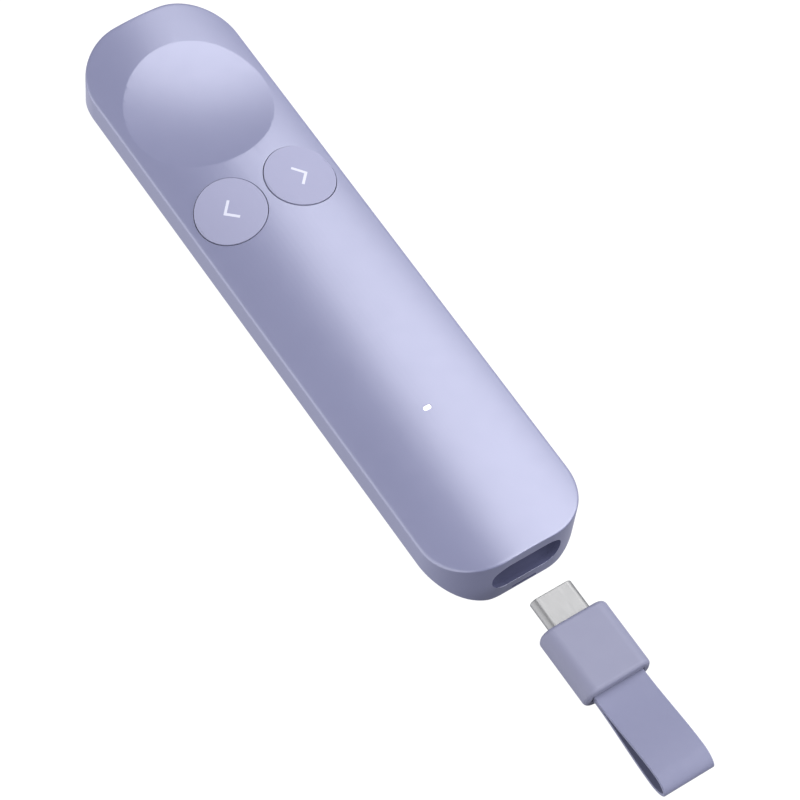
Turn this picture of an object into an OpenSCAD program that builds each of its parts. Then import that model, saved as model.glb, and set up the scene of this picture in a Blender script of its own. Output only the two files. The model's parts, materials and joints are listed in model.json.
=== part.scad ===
// Wireless presentation clicker: a slim hand piece with a thumb dish, two page buttons,
// a status light and, drawn out of its tail bay, a plug-in receiver on a strap loop.
// Millimetres. +X is to the right, +Y runs from the tail to the nose and +Z is up.
// The origin is the middle of the flat strip that the hand piece rests on.

/* [Body] */
// Length of the hand piece from tail to nose
body_l = 125; // [118:0.5:140]
// Width of the hand piece
body_w = 30; // [29.4:0.1:33]
// Height from the resting strip to the crown
body_t = 13.8; // [13.2:0.1:16.5]
// Radius of the crown across the body
crown_r = 38.5; // [34:0.5:60]
// Radius of the corners seen from above
corner_r = 10.5; // [8:0.1:12.5]
// Half width of the flat strip underneath
flat_half = 2; // [1.5:0.1:4]
// Height of the walls' lower edge above the resting strip
keel_rise = 5.4; // [4.8:0.1:6]
// Radius of the lower edge at the nose and the tail
end_r = 1.5; // [1:0.1:2]
// Thickness of the top and of the walls
wall = 1.5; // [1.3:0.05:1.7]
// Thickness of the bottom cover
cover_t = 1.3; // [1:0.05:1.6]
// Height of the joint of shell and cover above the walls' lower edge
ledge_rise = 1.5; // [1.4:0.1:1.9]
// Depth of the ledge that the rim sits under
ledge_step = 0.6; // [0.4:0.05:0.8]
// Gap round the bottom cover
cover_gap = 0.08; // [0.04:0.01:0.15]
// Length of the hooks on the cover's rim
hook_l = 6; // [3:0.5:10]
// Height of a hook
hook_h = 0.7; // [0.5:0.05:0.9]
// Reach of a hook into the shell
hook_reach = 0.4; // [0.2:0.05:0.45]
// Distance from one hook to the next
hook_pitch = 32; // [20:1:40]
// Width of the small notch in the lower edge of the tail
notch_w = 4.8; // [3:0.1:6]
// Height of the notch above the resting strip
notch_h = 2; // [1.2:0.1:2.4]
// Depth of the notch
notch_d = 0.3; // [0.2:0.05:0.5]

/* [Thumb dish] */
// Radius of the dish's rim
dish_r = 13.5; // [11:0.1:13.8]
// Depth of the dish in its middle
dish_depth = 1.2; // [0.8:0.05:1.6]
// Distance from the nose to the middle of the dish
dish_from_nose = 21.4; // [19:0.1:24]
// Thickness of the floor under the dish
dish_floor = 1.4; // [1:0.05:1.8]

/* [Buttons] */
// Radius of a page button
button_r = 6.5; // [5.5:0.05:6.6]
// Distance from the middle plane to the middle of a button
button_x = 7.2; // [7.1:0.05:7.4]
// Distance from the middle of the dish back to the buttons
button_pitch = 22; // [21.4:0.1:24]
// How far a button stands above the crown
button_proud = 0.3; // [0.1:0.05:0.5]
// Gap round a button
button_gap = 0.12; // [0.08:0.01:0.25]
// Thickness of a button's top
button_top = 1.2; // [0.9:0.05:1.5]
// Wall of a button's skirt
button_skirt = 1; // [0.8:0.05:1.3]
// Travel of a button
button_travel = 0.4; // [0.2:0.05:0.5]
// Depth of the collar under the shell round a button
collar_d = 0.6; // [0.3:0.05:0.8]
// Thickness of a button's two retaining tabs
tab_t = 0.7; // [0.5:0.05:0.9]
// Reach of a retaining tab past the button's edge
tab_reach = 1.1; // [0.8:0.05:1.3]
// Width of a retaining tab
tab_w = 4; // [3:0.1:5]
// Radius of the stem under a button
stem_r = 1.5; // [1.2:0.05:1.8]
// Length of one arm of an arrow mark
mark_arm = 3; // [2:0.1:3.6]
// Half of the angle between an arrow's arms
mark_angle = 42; // [30:1:55]
// Width of the stroke of an arrow mark
mark_w = 0.6; // [0.4:0.05:0.8]
// Depth of the arrow mark in the button
mark_d = 0.3; // [0.2:0.05:0.5]

/* [Status light] */
// Distance from the tail to the status light
light_from_tail = 31; // [29:0.1:33]
// Width of the light window across the body
light_w = 1.5; // [1.2:0.05:2]
// Length of the light window along the body
light_l = 0.9; // [0.7:0.05:1.2]
// Radius of the light guide's stem
guide_r = 1.1; // [0.8:0.05:1.4]

/* [Receiver] */
// Depth of the receiver's axis below the crown
bay_drop = 5.9; // [5.7:0.05:6.2]
// Width of the receiver's housing
housing_w = 13.3; // [13.2:0.05:14]
// Thickness of the receiver's housing
housing_t = 5.6; // [5.5:0.05:5.8]
// Length of the receiver's housing
housing_l = 13.6; // [13:0.1:15]
// Radius of the housing's long edges
housing_r = 2.5; // [2:0.05:2.7]
// Radius of the housing's front and rear edges
housing_edge = 0.8; // [0.4:0.05:1]
// Clearance round the housing in its bay
bay_gap = 0.25; // [0.15:0.05:0.3]
// Wall of the bay sleeve
sleeve_t = 0.7; // [0.6:0.05:0.8]
// How far the receiver is drawn out of the bay
pull_out = 26.5; // [23:0.5:40]
// Width of the plug's metal shell
plug_w = 8.25; // [8:0.01:8.4]
// Height of the plug's metal shell
plug_h = 2.4; // [2.3:0.01:2.5]
// Length of plug outside the housing
plug_l = 6.1; // [6:0.05:6.8]
// Wall of the plug's metal shell
plug_t = 0.3; // [0.25:0.01:0.35]
// Clearance between the plug and the socket on each side
mate_gap = 0.08; // [0.05:0.01:0.1]
// Wall of the socket's metal shell
socket_t = 0.3; // [0.25:0.01:0.35]
// Number of contacts in a row
contact_n = 12; // [8:2:12]
// Distance from one contact to the next
contact_pitch = 0.5; // [0.45:0.01:0.52]
// Width of the socket's tongue
tongue_w = 6.7; // [6.4:0.05:6.8]
// Thickness of the socket's tongue
tongue_t = 0.7; // [0.6:0.01:0.75]

/* [Strap] */
// Width of the strap
strap_w = 10; // [8:0.1:11]
// Thickness of the strap
strap_t = 0.7; // [0.5:0.05:0.9]
// Length of the loop behind the housing
loop_l = 20; // [16:0.5:40]
// Height of the loop's upper run above the receiver's axis
loop_up = 1.75; // [1:0.05:3.5]
// Depth of the loop's lower run below the receiver's axis
loop_down = 1.05; // [0.7:0.05:3]
// Length of the loop's rounded end
loop_bend = 3.9; // [2:0.1:6]
// Radius of the pin that holds the strap in the housing
pin_r = 0.6; // [0.5:0.05:0.7]

/* [Inside] */
// Thickness of the main board
board_t = 1; // [0.8:0.05:1.2]
// Gap from the board's edge to the shell
board_gap = 1.2; // [1:0.05:1.6]
// Radius of a screw boss
boss_r = 2; // [1.8:0.05:2.3]
// Distance from the side of the body to the middle of a screw boss
boss_inset = 5.6; // [5:0.1:6.4]
// Radius of a board screw
screw_r = 0.75; // [0.6:0.05:0.85]
// Length of a board screw inside its boss
screw_l = 2.8; // [2:0.1:3.2]
// Distance from the front end of the battery to the middle of the buttons
cell_to_buttons = 12.1; // [11.4:0.1:18]
// Width of the battery
cell_w = 19.5; // [16:0.1:20]
// Thickness of the battery
cell_t = 4; // [3.4:0.1:4.2]
// Radius of the touch sensor under the dish
sensor_r = 9.5; // [8:0.1:10]
// Radius of the haptic motor
motor_r = 4; // [3.5:0.1:5]
// Height of the haptic motor
motor_h = 2.6; // [2:0.1:3]

/* [Hidden] */
$fn = 96;

lavender = [0.79, 0.79, 0.91];
lavender_light = [0.84, 0.84, 0.95];
lavender_dark = [0.72, 0.72, 0.85];
metal = [0.78, 0.78, 0.79];
brass = [0.83, 0.68, 0.35];
board_green = [0.10, 0.30, 0.20];
black = [0.12, 0.12, 0.13];

eps = 0.01;
far = 60;
seat = 0.05;
// How far a cutting tool reaches past what it cuts, and how deep a rib is rooted in its floor
over = 1;
root = 0.2;

// The cover's rim and its hooks
cover_inset = wall - ledge_step + cover_gap;
rim_t = 0.8;
hook_gap = 0.06;
hook_drop = 0.9;
ledge_z = keel_rise + ledge_rise;
hook_z = ledge_z - hook_drop;

// Radius of the turned-up sides of the underside, from the strip's edge up to the walls' lower edge
keel_run = body_w/2 - flat_half;
keel_r = (keel_run*keel_run + keel_rise*keel_rise)/(2*keel_rise);

// Ribs inside the cover, and posts that carry the board
rib_x = 4;
rib_t = 0.8;
rib_h = 1.2;
rib_back = 4;
rib_front = 10;
post_r = 1.5;

tail_y = -body_l/2;
nose_y = body_l/2;
dish_y = nose_y - dish_from_nose;
button_y = dish_y - button_pitch;
light_y = tail_y + light_from_tail;
button_tilt = asin(button_x/crown_r);

// Height of the outer top surface, and of the roof of the hollow, at a distance from the middle
function crown_z(x) = body_t - crown_r + sqrt(crown_r*crown_r - x*x);
function roof_z(x) = body_t - crown_r + sqrt(pow(crown_r - wall, 2) - x*x);

// The bay and what is in line with it
bay_z = body_t - bay_drop;
bay_w = housing_w + 2*bay_gap;
bay_h = housing_t + 2*bay_gap;
bay_r = housing_r + bay_gap;
dock_inset = 0.3;
bay_spare = 0.2;
sleeve_gap = 0.3;
lining = sleeve_t + sleeve_gap;
bay_d = housing_l + dock_inset + bay_spare;
bay_end = tail_y + bay_d;
housing_back = tail_y + dock_inset - pull_out;
housing_front = housing_back + housing_l;

// The socket and the board that carries it
socket_w = plug_w + 2*mate_gap + 2*socket_t;
socket_h = plug_h + 2*mate_gap + 2*socket_t;
bridge_t = 0.6;
tip_room = 0.1;
socket_l = plug_l + tip_room + bridge_t + socket_t;
board_z = bay_z - socket_h/2;
board_under = board_z - board_t;
board_back = bay_end + lining;
board_front = nose_y - wall - board_gap;

// The dish: a ring-shaped cutter whose axis lies along the body under the dish
dish_sag = crown_r - sqrt(crown_r*crown_r - dish_r*dish_r);
dish_over = dish_sag - dish_depth;
dish_across_r = (dish_r*dish_r + dish_over*dish_over)/(2*dish_over);
dish_along_r = (dish_r*dish_r + dish_depth*dish_depth)/(2*dish_depth);
dish_boss_t = 1.2;
nose_room = 1;
dish_boss_r = min(dish_r + dish_boss_t, dish_from_nose - wall - nose_room);
// Half of the cutter ring's height, and how far its sides reach past the dish
ring_h = 8;
ring_side = 2;
dish_boss_z = min(body_t - dish_depth - dish_floor, roof_z(sensor_r));

// The buttons and the switches below them
collar_t = 0.7;
tab_gap = 0.15;
button_low = wall + collar_d + tab_gap + tab_t;
well_in = 10;
well_out = 4;
switch_w = 4.5;
switch_h = 1.6;
plunger_r = 1;
plunger_gap = 0.1;
// The stem ends short of the switch by the travel, its own tilted corner and a small rest
stem_rest = 0.1;
stem_gap = button_travel + stem_r*tan(button_tilt) + stem_rest;
stem_drop = (crown_z(button_x) - board_z - switch_h)/cos(button_tilt) - stem_gap;
plunger_in = 0.25;
plunger_l = stem_gap + plunger_in;
switch_x = button_x - (crown_z(button_x) - board_z - switch_h/2)*tan(button_tilt);

// Screws: two behind the status light and two between the buttons and the dish
boss_from_board = 11.5;
boss_from_dish = 10.2;
boss_back = [body_w/2 - boss_inset, board_back + boss_from_board];
boss_front = [body_w/2 - boss_inset, dish_y - boss_from_dish];
screw_head_r = 1.4;
screw_head_h = 0.9;
screw_grip = 0.02;
screw_free = 0.15;
screw_spare = 0.4;
driver = [1.6, 0.4, 0.5];

// Battery
cell_from_light = 4.5;
cell_y0 = light_y + cell_from_light;
cell_y1 = button_y - cell_to_buttons;
cell_l = cell_y1 - cell_y0;
cell_r = 0.8;
seam_l = 2;
seam_t = 0.5;
seam_in = 1;
tape_t = 0.2;
tape_in = 1;
cell_z = board_z + tape_t;
foam_w = 10;
foam_in = 5;

// Flat leads and the connectors that they go into
lead_w = 4;
lead_t = 0.2;
plug_box = [5, 1.8];
battery_plug_h = 1.2;
sensor_plug_h = 1;
battery_plug_gap = 0.3;
lead_on = 1.2;
lead_out = 0.5;
lead_foot = 1.4;
sensor_t = 0.5;
sensor_lead_out = 1.6;
sensor_lead_on = 2;
sensor_plug_back = 0.2;

// Light guide over its LED
light_gap = 0.05;
flange_r = 2;
flange_t = 0.6;
led = [1.6, 0.8, 0.35];
led_lens = [1, 0.8, 0.7];

// Parts under and on the front of the board
motor_from_dish = 1;
motor_step = [0.4, 0.3];
shield = [13, 11, 1.6];
shield_t = 0.2;
vent_r = 0.4;
vent_pitch = 2;
radio = [5, 5, 0.9];
antenna_size = [7, 1.6, 1.1];
antenna_in = 1;

// Arrow marks sit a little off the middle of their button
mark_out = 0.2;

// Contacts of plug and socket
contact_w = 0.25;
spring_t = 0.08;
pad_t = 0.02;
insert_gap = 0.125;

// Inside of the socket, the plug and the receiver's housing
tongue_l = 4.6;
contact_l = 4.2;
plug_in = 2.2;
insert_back = 0.3;
slot_l = 5.6;
slot_gap = 0.1;
spring_l = 4.4;
spring_back = 0.8;
room_h = 3.2;
room_w = 10;
lip_t = 1;
front_t = 1.2;
mouth_gap = 0.25;
strap_gap = 0.2;
strap_room_l = 5.2;
pin_grip = 0.02;
pin_over = 0.65;
stick = [9.2, 0.6];
stick_gap = 0.1;
stick_chip = [4, 4, 0.8];
chip_in = 0.7;

// Strap loop in side view, measured to the middle of the strap
pin_in = 3.2;
pin_y = housing_back + pin_in;
strap_lay = strap_t/2 + seat;
pin_turn = pin_r + seat + strap_t/2;
loop_end = housing_back - loop_l + strap_t/2;
loop_wide = loop_end + loop_bend;
loop_run = housing_back - loop_wide;

// Outline of the body from above, drawn in by a distance
module plan(inset) {
    r = corner_r - inset;
    w = body_w/2 - inset;
    l = body_l/2 - inset;
    union() {
        square([2*w, 2*(l - r)], center = true);
        square([2*(w - r), 2*l], center = true);
        for (sx = [-1, 1], sy = [-1, 1])
            translate([sx*(w - r), sy*(l - r)]) circle(r);
    }
}

// Rounded rectangle for sections and small housings
module rounded(w, h, r) {
    union() {
        square([w, h - 2*r], center = true);
        square([w - 2*r, h], center = true);
        for (sx = [-1, 1], sy = [-1, 1])
            translate([sx*(w/2 - r), sy*(h/2 - r)]) circle(r);
    }
}

// Underside of the section: a flat strip between two turned-up sides, filled up to the top
module keel(inset) {
    r = keel_r - inset;
    intersection() {
        translate([-far/2, inset]) square([far, far]);
        union() {
            translate([-flat_half, inset]) square([2*flat_half, far]);
            for (s = [-1, 1]) translate([s*flat_half, keel_r]) circle(r);
            translate([-flat_half - r, keel_r]) square([2*(flat_half + r), far]);
        }
    }
}

// Circle about the crown's axis, in the section across the body
module crown_circle(r) {
    translate([0, body_t - crown_r]) circle(r, $fn = 180);
}

// Section across the body
module section_shape() {
    intersection() {
        keel(0);
        crown_circle(crown_r);
    }
}

// Turns a section drawn in X and Z into a bar along the body
module along(y0, y1) {
    translate([0, y1, 0]) rotate([90, 0, 0]) linear_extrude(y1 - y0) children();
}

// Side view with its lower corners rounded
module side_view() {
    l = body_l/2;
    union() {
        translate([-l, end_r]) square([body_l, far]);
        translate([-l + end_r, 0]) square([body_l - 2*end_r, far]);
        for (s = [-1, 1]) translate([s*(l - end_r), end_r]) circle(end_r);
    }
}

// The whole outer form of the hand piece
module body_form() {
    intersection() {
        translate([0, 0, -over]) linear_extrude(far) plan(0);
        along(tail_y - over, nose_y + over) section_shape();
        translate([-far/2, 0, 0]) rotate([90, 0, 90]) linear_extrude(far) side_view();
    }
}

// What a tool of this ring shape removes is the thumb dish
module dish_cutter() {
    translate([0, dish_y, body_t - dish_depth - dish_across_r]) rotate([90, 0, 0])
        rotate_extrude($fn = 360) difference() {
            translate([dish_across_r - ring_h, -dish_r - over]) square([2*ring_h, 2*(dish_r + over)]);
            translate([dish_across_r + dish_along_r, 0]) mirror([1, 0]) union() {
                translate([dish_along_r, -dish_r - ring_side]) square([2*ring_h, 2*(dish_r + ring_side)]);
                difference() {
                    translate([0, -dish_r - ring_side]) square([dish_along_r + eps, 2*(dish_r + ring_side)]);
                    circle(dish_along_r, $fn = 720);
                }
            }
        }
}

// Places children on the crown at one button, with their Z along its travel
module at_button(side) {
    translate([side*button_x, button_y, crown_z(button_x)]) rotate([0, side*button_tilt, 0]) children();
}

// The four places of the board screws
module at_screws() {
    for (s = [-1, 1], p = [boss_back, boss_front]) translate([s*p[0], p[1], 0]) children();
}

module light_shape(w, l) {
    rounded(w, l, l/2 - eps);
}

// Upper case: crown, walls, button collars, dish floor and screw bosses in one moulding
module top_shell() {
    color(lavender) difference() {
        union() {
            difference() {
                body_form();
                intersection() {
                    translate([0, 0, -over]) linear_extrude(far) plan(wall);
                    along(tail_y, nose_y) crown_circle(crown_r - wall);
                }
                translate([0, 0, -over]) linear_extrude(ledge_z + over) plan(wall - ledge_step);
            }
            intersection() {
                body_form();
                union() {
                    translate([0, dish_y, dish_boss_z]) cylinder(r = dish_boss_r, h = far);
                    for (s = [-1, 1]) at_button(s)
                        translate([0, 0, -wall - collar_d])
                            cylinder(r = button_r + button_gap + collar_t, h = wall + collar_d);
                    at_screws() translate([0, 0, board_z]) cylinder(r = boss_r, h = far);
                }
            }
        }
        dish_cutter();
        for (s = [-1, 1]) at_button(s)
            translate([0, 0, -well_in]) cylinder(r = button_r + button_gap, h = well_in + well_out);
        translate([0, light_y, 0]) linear_extrude(far)
            light_shape(light_w + 2*light_gap, light_l + 2*light_gap);
        at_screws() translate([0, 0, board_z - over])
            cylinder(r = screw_r + screw_grip, h = over + screw_l + screw_spare);
        along(tail_y - over, tail_y + wall + over) translate([0, bay_z]) rounded(bay_w, bay_h, bay_r);
        translate([-notch_w/2, tail_y - over, -over]) cube([notch_w, over + notch_d, notch_h + over]);
        hooks(hook_gap);
    }
}

// Three hooks along each side of the cover's rim, or with room round them the pockets they snap into
module hooks(room) {
    reach = hook_reach + room;
    for (s = [-1, 1], i = [-1:1])
        translate([s*(body_w/2 - cover_inset + (reach - root)/2), i*hook_pitch, hook_z])
            cube([reach + root, hook_l + 2*room, hook_h + 2*room], center = true);
}

// Bottom cover: the curved underside inside the walls, with a rim that seats under the ledge
module bottom_cover() {
    color(lavender) union() {
        difference() {
            intersection() {
                body_form();
                translate([0, 0, -over]) linear_extrude(ledge_z + over) plan(cover_inset);
            }
            along(tail_y, nose_y) keel(cover_t);
        }
        difference() {
            intersection() {
                body_form();
                translate([0, 0, cover_t]) linear_extrude(ledge_z - cover_t) plan(cover_inset);
                along(tail_y, nose_y) translate([-far/2, 0]) square([far, far]);
            }
            translate([0, 0, -over]) linear_extrude(far) plan(cover_inset + rim_t);
            translate([-bay_w/2 - lining, tail_y - over, bay_z - bay_h/2 - lining])
                cube([bay_w + 2*lining, cover_inset + rim_t + 2*over, far]);
        }
        for (s = [-1, 1]) translate([s*rib_x - rib_t/2, board_back + rib_back, cover_t - root])
            cube([rib_t, board_front - board_back - rib_back - rib_front, root + rib_h]);
        for (s = [-1, 1], y = [cell_y0, cell_y1]) translate([s*rib_x, y, cover_t - root])
            cylinder(r = post_r, h = board_under - seat - cover_t + root);
        hooks(0);
    }
}

// Sleeve that lines the bay and holds the socket's mouth
module bay_sleeve() {
    color(black) difference() {
        intersection() {
            along(tail_y, bay_end + sleeve_t) translate([0, bay_z])
                rounded(bay_w + 2*sleeve_t, bay_h + 2*sleeve_t, bay_r + sleeve_t);
            linear_extrude(far) plan(wall + seat);
        }
        along(tail_y - over, bay_end) translate([0, bay_z]) rounded(bay_w, bay_h, bay_r);
        along(bay_end - over, bay_end + sleeve_t + over) translate([0, bay_z])
            rounded(socket_w + 2*seat, socket_h + 2*seat, socket_h/2 + seat - eps);
    }
}

module light_guide() {
    color("white") translate([0, light_y, 0]) union() {
        intersection() {
            translate([0, 0, roof_z(flange_r) - flange_t - 2*seat]) linear_extrude(far)
                light_shape(light_w, light_l);
            translate([-far/2, -far/2, 0]) cube([far, far, crown_z(light_w/2)]);
        }
        translate([0, 0, roof_z(flange_r) - seat - flange_t]) cylinder(r = flange_r, h = flange_t);
        translate([0, 0, board_z + led_lens[2] + seat])
            cylinder(r = guide_r, h = roof_z(flange_r) - flange_t/2 - board_z - led_lens[2] - seat);
    }
}

module status_led() {
    color("white") translate([0, light_y, board_z]) union() {
        translate([-led[0]/2, -led[1]/2, 0]) cube(led);
        translate([-led_lens[0]/2, -led_lens[1]/2, 0]) cube(led_lens);
    }
}

module main_board() {
    color(board_green) difference() {
        translate([0, 0, board_under]) linear_extrude(board_t) intersection() {
            plan(wall + board_gap);
            translate([-far/2, board_back]) square([far, board_front - board_back]);
        }
        at_screws() translate([0, 0, board_under - over])
            cylinder(r = screw_r + screw_free, h = board_t + 2*over);
    }
}

module board_screws() {
    color(metal) at_screws() difference() {
        union() {
            translate([0, 0, board_under - screw_head_h]) cylinder(r = screw_head_r, h = screw_head_h);
            translate([0, 0, board_under - eps]) cylinder(r = screw_r, h = eps + board_t + screw_l);
        }
        for (a = [0, 90]) rotate([0, 0, a])
            translate([-driver[0]/2, -driver[1]/2, board_under - screw_head_h - over])
                cube([driver[0], driver[1], driver[2] + over]);
    }
}

module battery_tape() {
    color("white") translate([-cell_w/2 + tape_in, cell_y0 + tape_in, board_z])
        cube([cell_w - 2*tape_in, cell_l - 2*tape_in, tape_t]);
}

// Pouch cell with a folded top seam at its front end
module battery_cell() {
    color([0.75, 0.76, 0.78]) union() {
        translate([0, cell_y1 - seam_l, cell_z + cell_t/2]) rotate([90, 0, 0])
            linear_extrude(cell_l - seam_l) rounded(cell_w, cell_t, cell_r);
        translate([-cell_w/2 + seam_in, cell_y1 - seam_l - eps, cell_z + (cell_t - seam_t)/2])
            cube([cell_w - 2*seam_in, seam_l + eps, seam_t]);
    }
}

module battery_foam() {
    color(black) translate([-foam_w/2, cell_y0 + foam_in, cell_z + cell_t])
        cube([foam_w, cell_l - 2*foam_in, roof_z(foam_w/2) - cell_z - cell_t - seat]);
}

// Flat lead from the seam of the cell down to its connector
module battery_lead() {
    z0 = board_z + battery_plug_h;
    z1 = cell_z + (cell_t - seam_t)/2 - lead_t;
    color([0.85, 0.55, 0.2]) translate([-lead_w/2, cell_y1, 0]) union() {
        translate([0, -lead_on, z1]) cube([lead_w, lead_on + lead_out + lead_t, lead_t]);
        translate([0, lead_out, z0]) cube([lead_w, lead_t, z1 + lead_t - z0]);
        translate([0, lead_out, z0]) cube([lead_w, lead_foot, lead_t]);
    }
}

module battery_connector() {
    color("ivory") translate([-plug_box[0]/2, cell_y1 + battery_plug_gap, board_z])
        cube([plug_box[0], plug_box[1], battery_plug_h]);
}

// Switch with a hole in its lid that follows the tilted line of the plunger
module page_switch(side) {
    color(metal) difference() {
        translate([side*switch_x - switch_w/2, button_y - switch_w/2, board_z])
            cube([switch_w, switch_w, switch_h]);
        at_button(side) translate([0, 0, -stem_drop - plunger_l - button_travel - stem_rest])
            cylinder(r = plunger_r + plunger_gap, h = switch_h + well_out);
    }
}

module back_switch() { page_switch(-1); }
module next_switch() { page_switch(1); }

module touch_sensor() {
    color(brass) translate([0, dish_y, dish_boss_z - sensor_t]) cylinder(r = sensor_r, h = sensor_t);
}

// Flat lead from the touch sensor down to its connector
module sensor_lead() {
    z0 = board_z + sensor_plug_h;
    z1 = dish_boss_z - sensor_t - lead_t;
    color([0.85, 0.55, 0.2]) translate([-lead_w/2, dish_y - sensor_r - sensor_lead_out, 0]) union() {
        translate([0, 0, z1]) cube([lead_w, sensor_lead_out + sensor_lead_on, lead_t]);
        translate([0, 0, z0]) cube([lead_w, lead_t, z1 + lead_t - z0]);
        translate([0, 0, z0]) cube([lead_w, lead_foot, lead_t]);
    }
}

module sensor_connector() {
    y0 = dish_y - sensor_r - sensor_lead_out - sensor_plug_back;
    color("ivory") translate([-plug_box[0]/2, y0, board_z]) cube([plug_box[0], plug_box[1], sensor_plug_h]);
}

module haptic_motor() {
    color(metal) translate([0, dish_y + motor_from_dish, board_z]) union() {
        cylinder(r = motor_r, h = motor_h - motor_step[1]);
        cylinder(r = motor_r - motor_step[0], h = motor_h);
    }
}

// Shield can under the board, and the chip that it covers
module radio_shield() {
    color(metal) translate([-shield[0]/2, button_y - shield[1]/2, board_under - shield[2]]) difference() {
        cube(shield);
        translate([shield_t, shield_t, shield_t])
            cube([shield[0] - 2*shield_t, shield[1] - 2*shield_t, shield[2]]);
        for (i = [-2:2], j = [-1, 1])
            translate([shield[0]/2 + i*vent_pitch, shield[1]/2 + j*vent_pitch, -over])
                cylinder(r = vent_r, h = 2*over);
    }
}

module radio_chip() {
    color(black) translate([-radio[0]/2, button_y - radio[1]/2, board_under - radio[2]]) cube(radio);
}

module antenna() {
    color("ivory") translate([-antenna_size[0]/2, board_front - antenna_in - antenna_size[1], board_z])
        cube(antenna_size);
}

// Metal shell of the socket, with the same clearance round the plug on every side
module socket_shell() {
    y1 = bay_end + socket_l;
    color(metal) difference() {
        along(bay_end, y1) translate([0, bay_z]) rounded(socket_w, socket_h, socket_h/2 - eps);
        along(bay_end - over, y1 - socket_t) translate([0, bay_z])
            rounded(plug_w + 2*mate_gap, plug_h + 2*mate_gap, plug_h/2 + mate_gap - eps);
    }
}

module socket_tongue() {
    y1 = bay_end + socket_l - socket_t;
    color(black) union() {
        along(y1 - bridge_t, y1) translate([0, bay_z])
            rounded(plug_w + 2*mate_gap, plug_h + 2*mate_gap, plug_h/2 + mate_gap - eps);
        along(y1 - bridge_t - tongue_l, y1 - bridge_t + eps) translate([-tongue_w/2, bay_z - tongue_t/2])
            square([tongue_w, tongue_t]);
    }
}

// One row of contacts, centred on the middle plane
module contact_row(y0, y1, z0, t) {
    for (i = [0:contact_n - 1])
        translate([(i - (contact_n - 1)/2)*contact_pitch - contact_w/2, y0, z0])
            cube([contact_w, y1 - y0, t]);
}

module socket_contacts() {
    y1 = bay_end + socket_l - socket_t;
    color(brass) for (s = [-1, 1])
        contact_row(y1 - bridge_t - contact_l, y1 - bridge_t,
                    bay_z + s*(tongue_t/2 + pad_t/2) - pad_t/2, pad_t);
}

// What lies within a radius of the crown's axis
module crown_bar(r) {
    along(tail_y, nose_y) crown_circle(r);
}

// Cap that follows the crown, with a skirt, two retaining tabs, a stem and a recess for its arrow
module page_button(side) {
    color(lavender_light) union() {
        difference() {
            intersection() {
                at_button(side) translate([0, 0, -button_low])
                    cylinder(r = button_r, h = button_low + well_out);
                crown_bar(crown_r + button_proud);
            }
            at_button(side) translate([0, 0, -button_low - over])
                cylinder(r = button_r - button_skirt, h = button_low + over - button_top + button_proud);
            arrow_prism(side);
        }
        at_button(side) {
            difference() {
                translate([-tab_w/2, -button_r - tab_reach, -button_low])
                    cube([tab_w, 2*(button_r + tab_reach), tab_t]);
                translate([0, 0, -button_low - over])
                    cylinder(r = button_r - button_skirt, h = tab_t + 2*over);
            }
            translate([0, 0, -stem_drop])
                cylinder(r = stem_r, h = stem_drop - button_top + button_proud + root);
        }
    }
}

// Arrow that points away from the middle: two arms with square ends and a pointed tip
module arrow_shape(side) {
    arm = mark_arm*[cos(mark_angle), sin(mark_angle)];
    edge = mark_w/2*[sin(mark_angle), cos(mark_angle)];
    tip = mark_w/2/sin(mark_angle);
    upper = [[-arm[0] + edge[0], arm[1] + edge[1]], [-arm[0] - edge[0], arm[1] - edge[1]]];
    mirror([side < 0 ? 1 : 0, 0]) translate([arm[0]/2 + mark_out, 0])
        polygon([[tip, 0], upper[0], upper[1], [-tip, 0],
                 [upper[1][0], -upper[1][1]], [upper[0][0], -upper[0][1]]]);
}

// The arrow from the floor of its recess upward
module arrow_prism(side) {
    difference() {
        at_button(side) translate([0, 0, -over]) linear_extrude(over + well_out) arrow_shape(side);
        crown_bar(crown_r + button_proud - mark_d);
    }
}

module arrow_mark(side) {
    color("white") intersection() {
        arrow_prism(side);
        crown_bar(crown_r + button_proud);
    }
}

module page_plunger(side) {
    color(black) at_button(side) translate([0, 0, -stem_drop - plunger_l])
        cylinder(r = plunger_r, h = plunger_l);
}

module back_button() { page_button(-1); }
module next_button() { page_button(1); }
module back_arrow() { arrow_mark(-1); }
module next_arrow() { arrow_mark(1); }
module back_plunger() { page_plunger(-1); }
module next_plunger() { page_plunger(1); }

// Outer form of the receiver's housing: its section, plan and side view together
module housing_form() {
    mid = (housing_back + housing_front)/2;
    intersection() {
        along(housing_back, housing_front) translate([0, bay_z]) rounded(housing_w, housing_t, housing_r);
        translate([0, mid, 0]) linear_extrude(far) rounded(housing_w, housing_l, housing_edge);
        translate([-far/2, mid, bay_z]) rotate([90, 0, 90]) linear_extrude(far)
            rounded(housing_l, housing_t, housing_edge);
    }
}

// Housing with an opening for the plug, a room for the board and a mouth for the strap
module receiver_housing() {
    color(lavender_dark) difference() {
        housing_form();
        along(housing_front - plug_in + eps, housing_front + over) translate([0, bay_z])
            rounded(plug_w + 2*seat, plug_h + 2*seat, plug_h/2 + seat - eps);
        along(housing_back + strap_room_l, housing_front - front_t)
            translate([-room_w/2, bay_z - room_h/2]) square([room_w, room_h]);
        along(housing_back + lip_t, housing_back + strap_room_l + eps)
            translate([-strap_w/2 - strap_gap, bay_z - room_h/2]) square([strap_w + 2*strap_gap, room_h]);
        along(housing_back - over, housing_back + lip_t + eps)
            translate([-strap_w/2 - strap_gap, bay_z - strap_t - mouth_gap])
                square([strap_w + 2*strap_gap, 2*(strap_t + mouth_gap)]);
        translate([-strap_w/2 - pin_over - seat, housing_back + pin_in, bay_z]) rotate([0, 90, 0])
            cylinder(r = pin_r + pin_grip, h = strap_w + 2*(pin_over + seat));
    }
}

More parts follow.
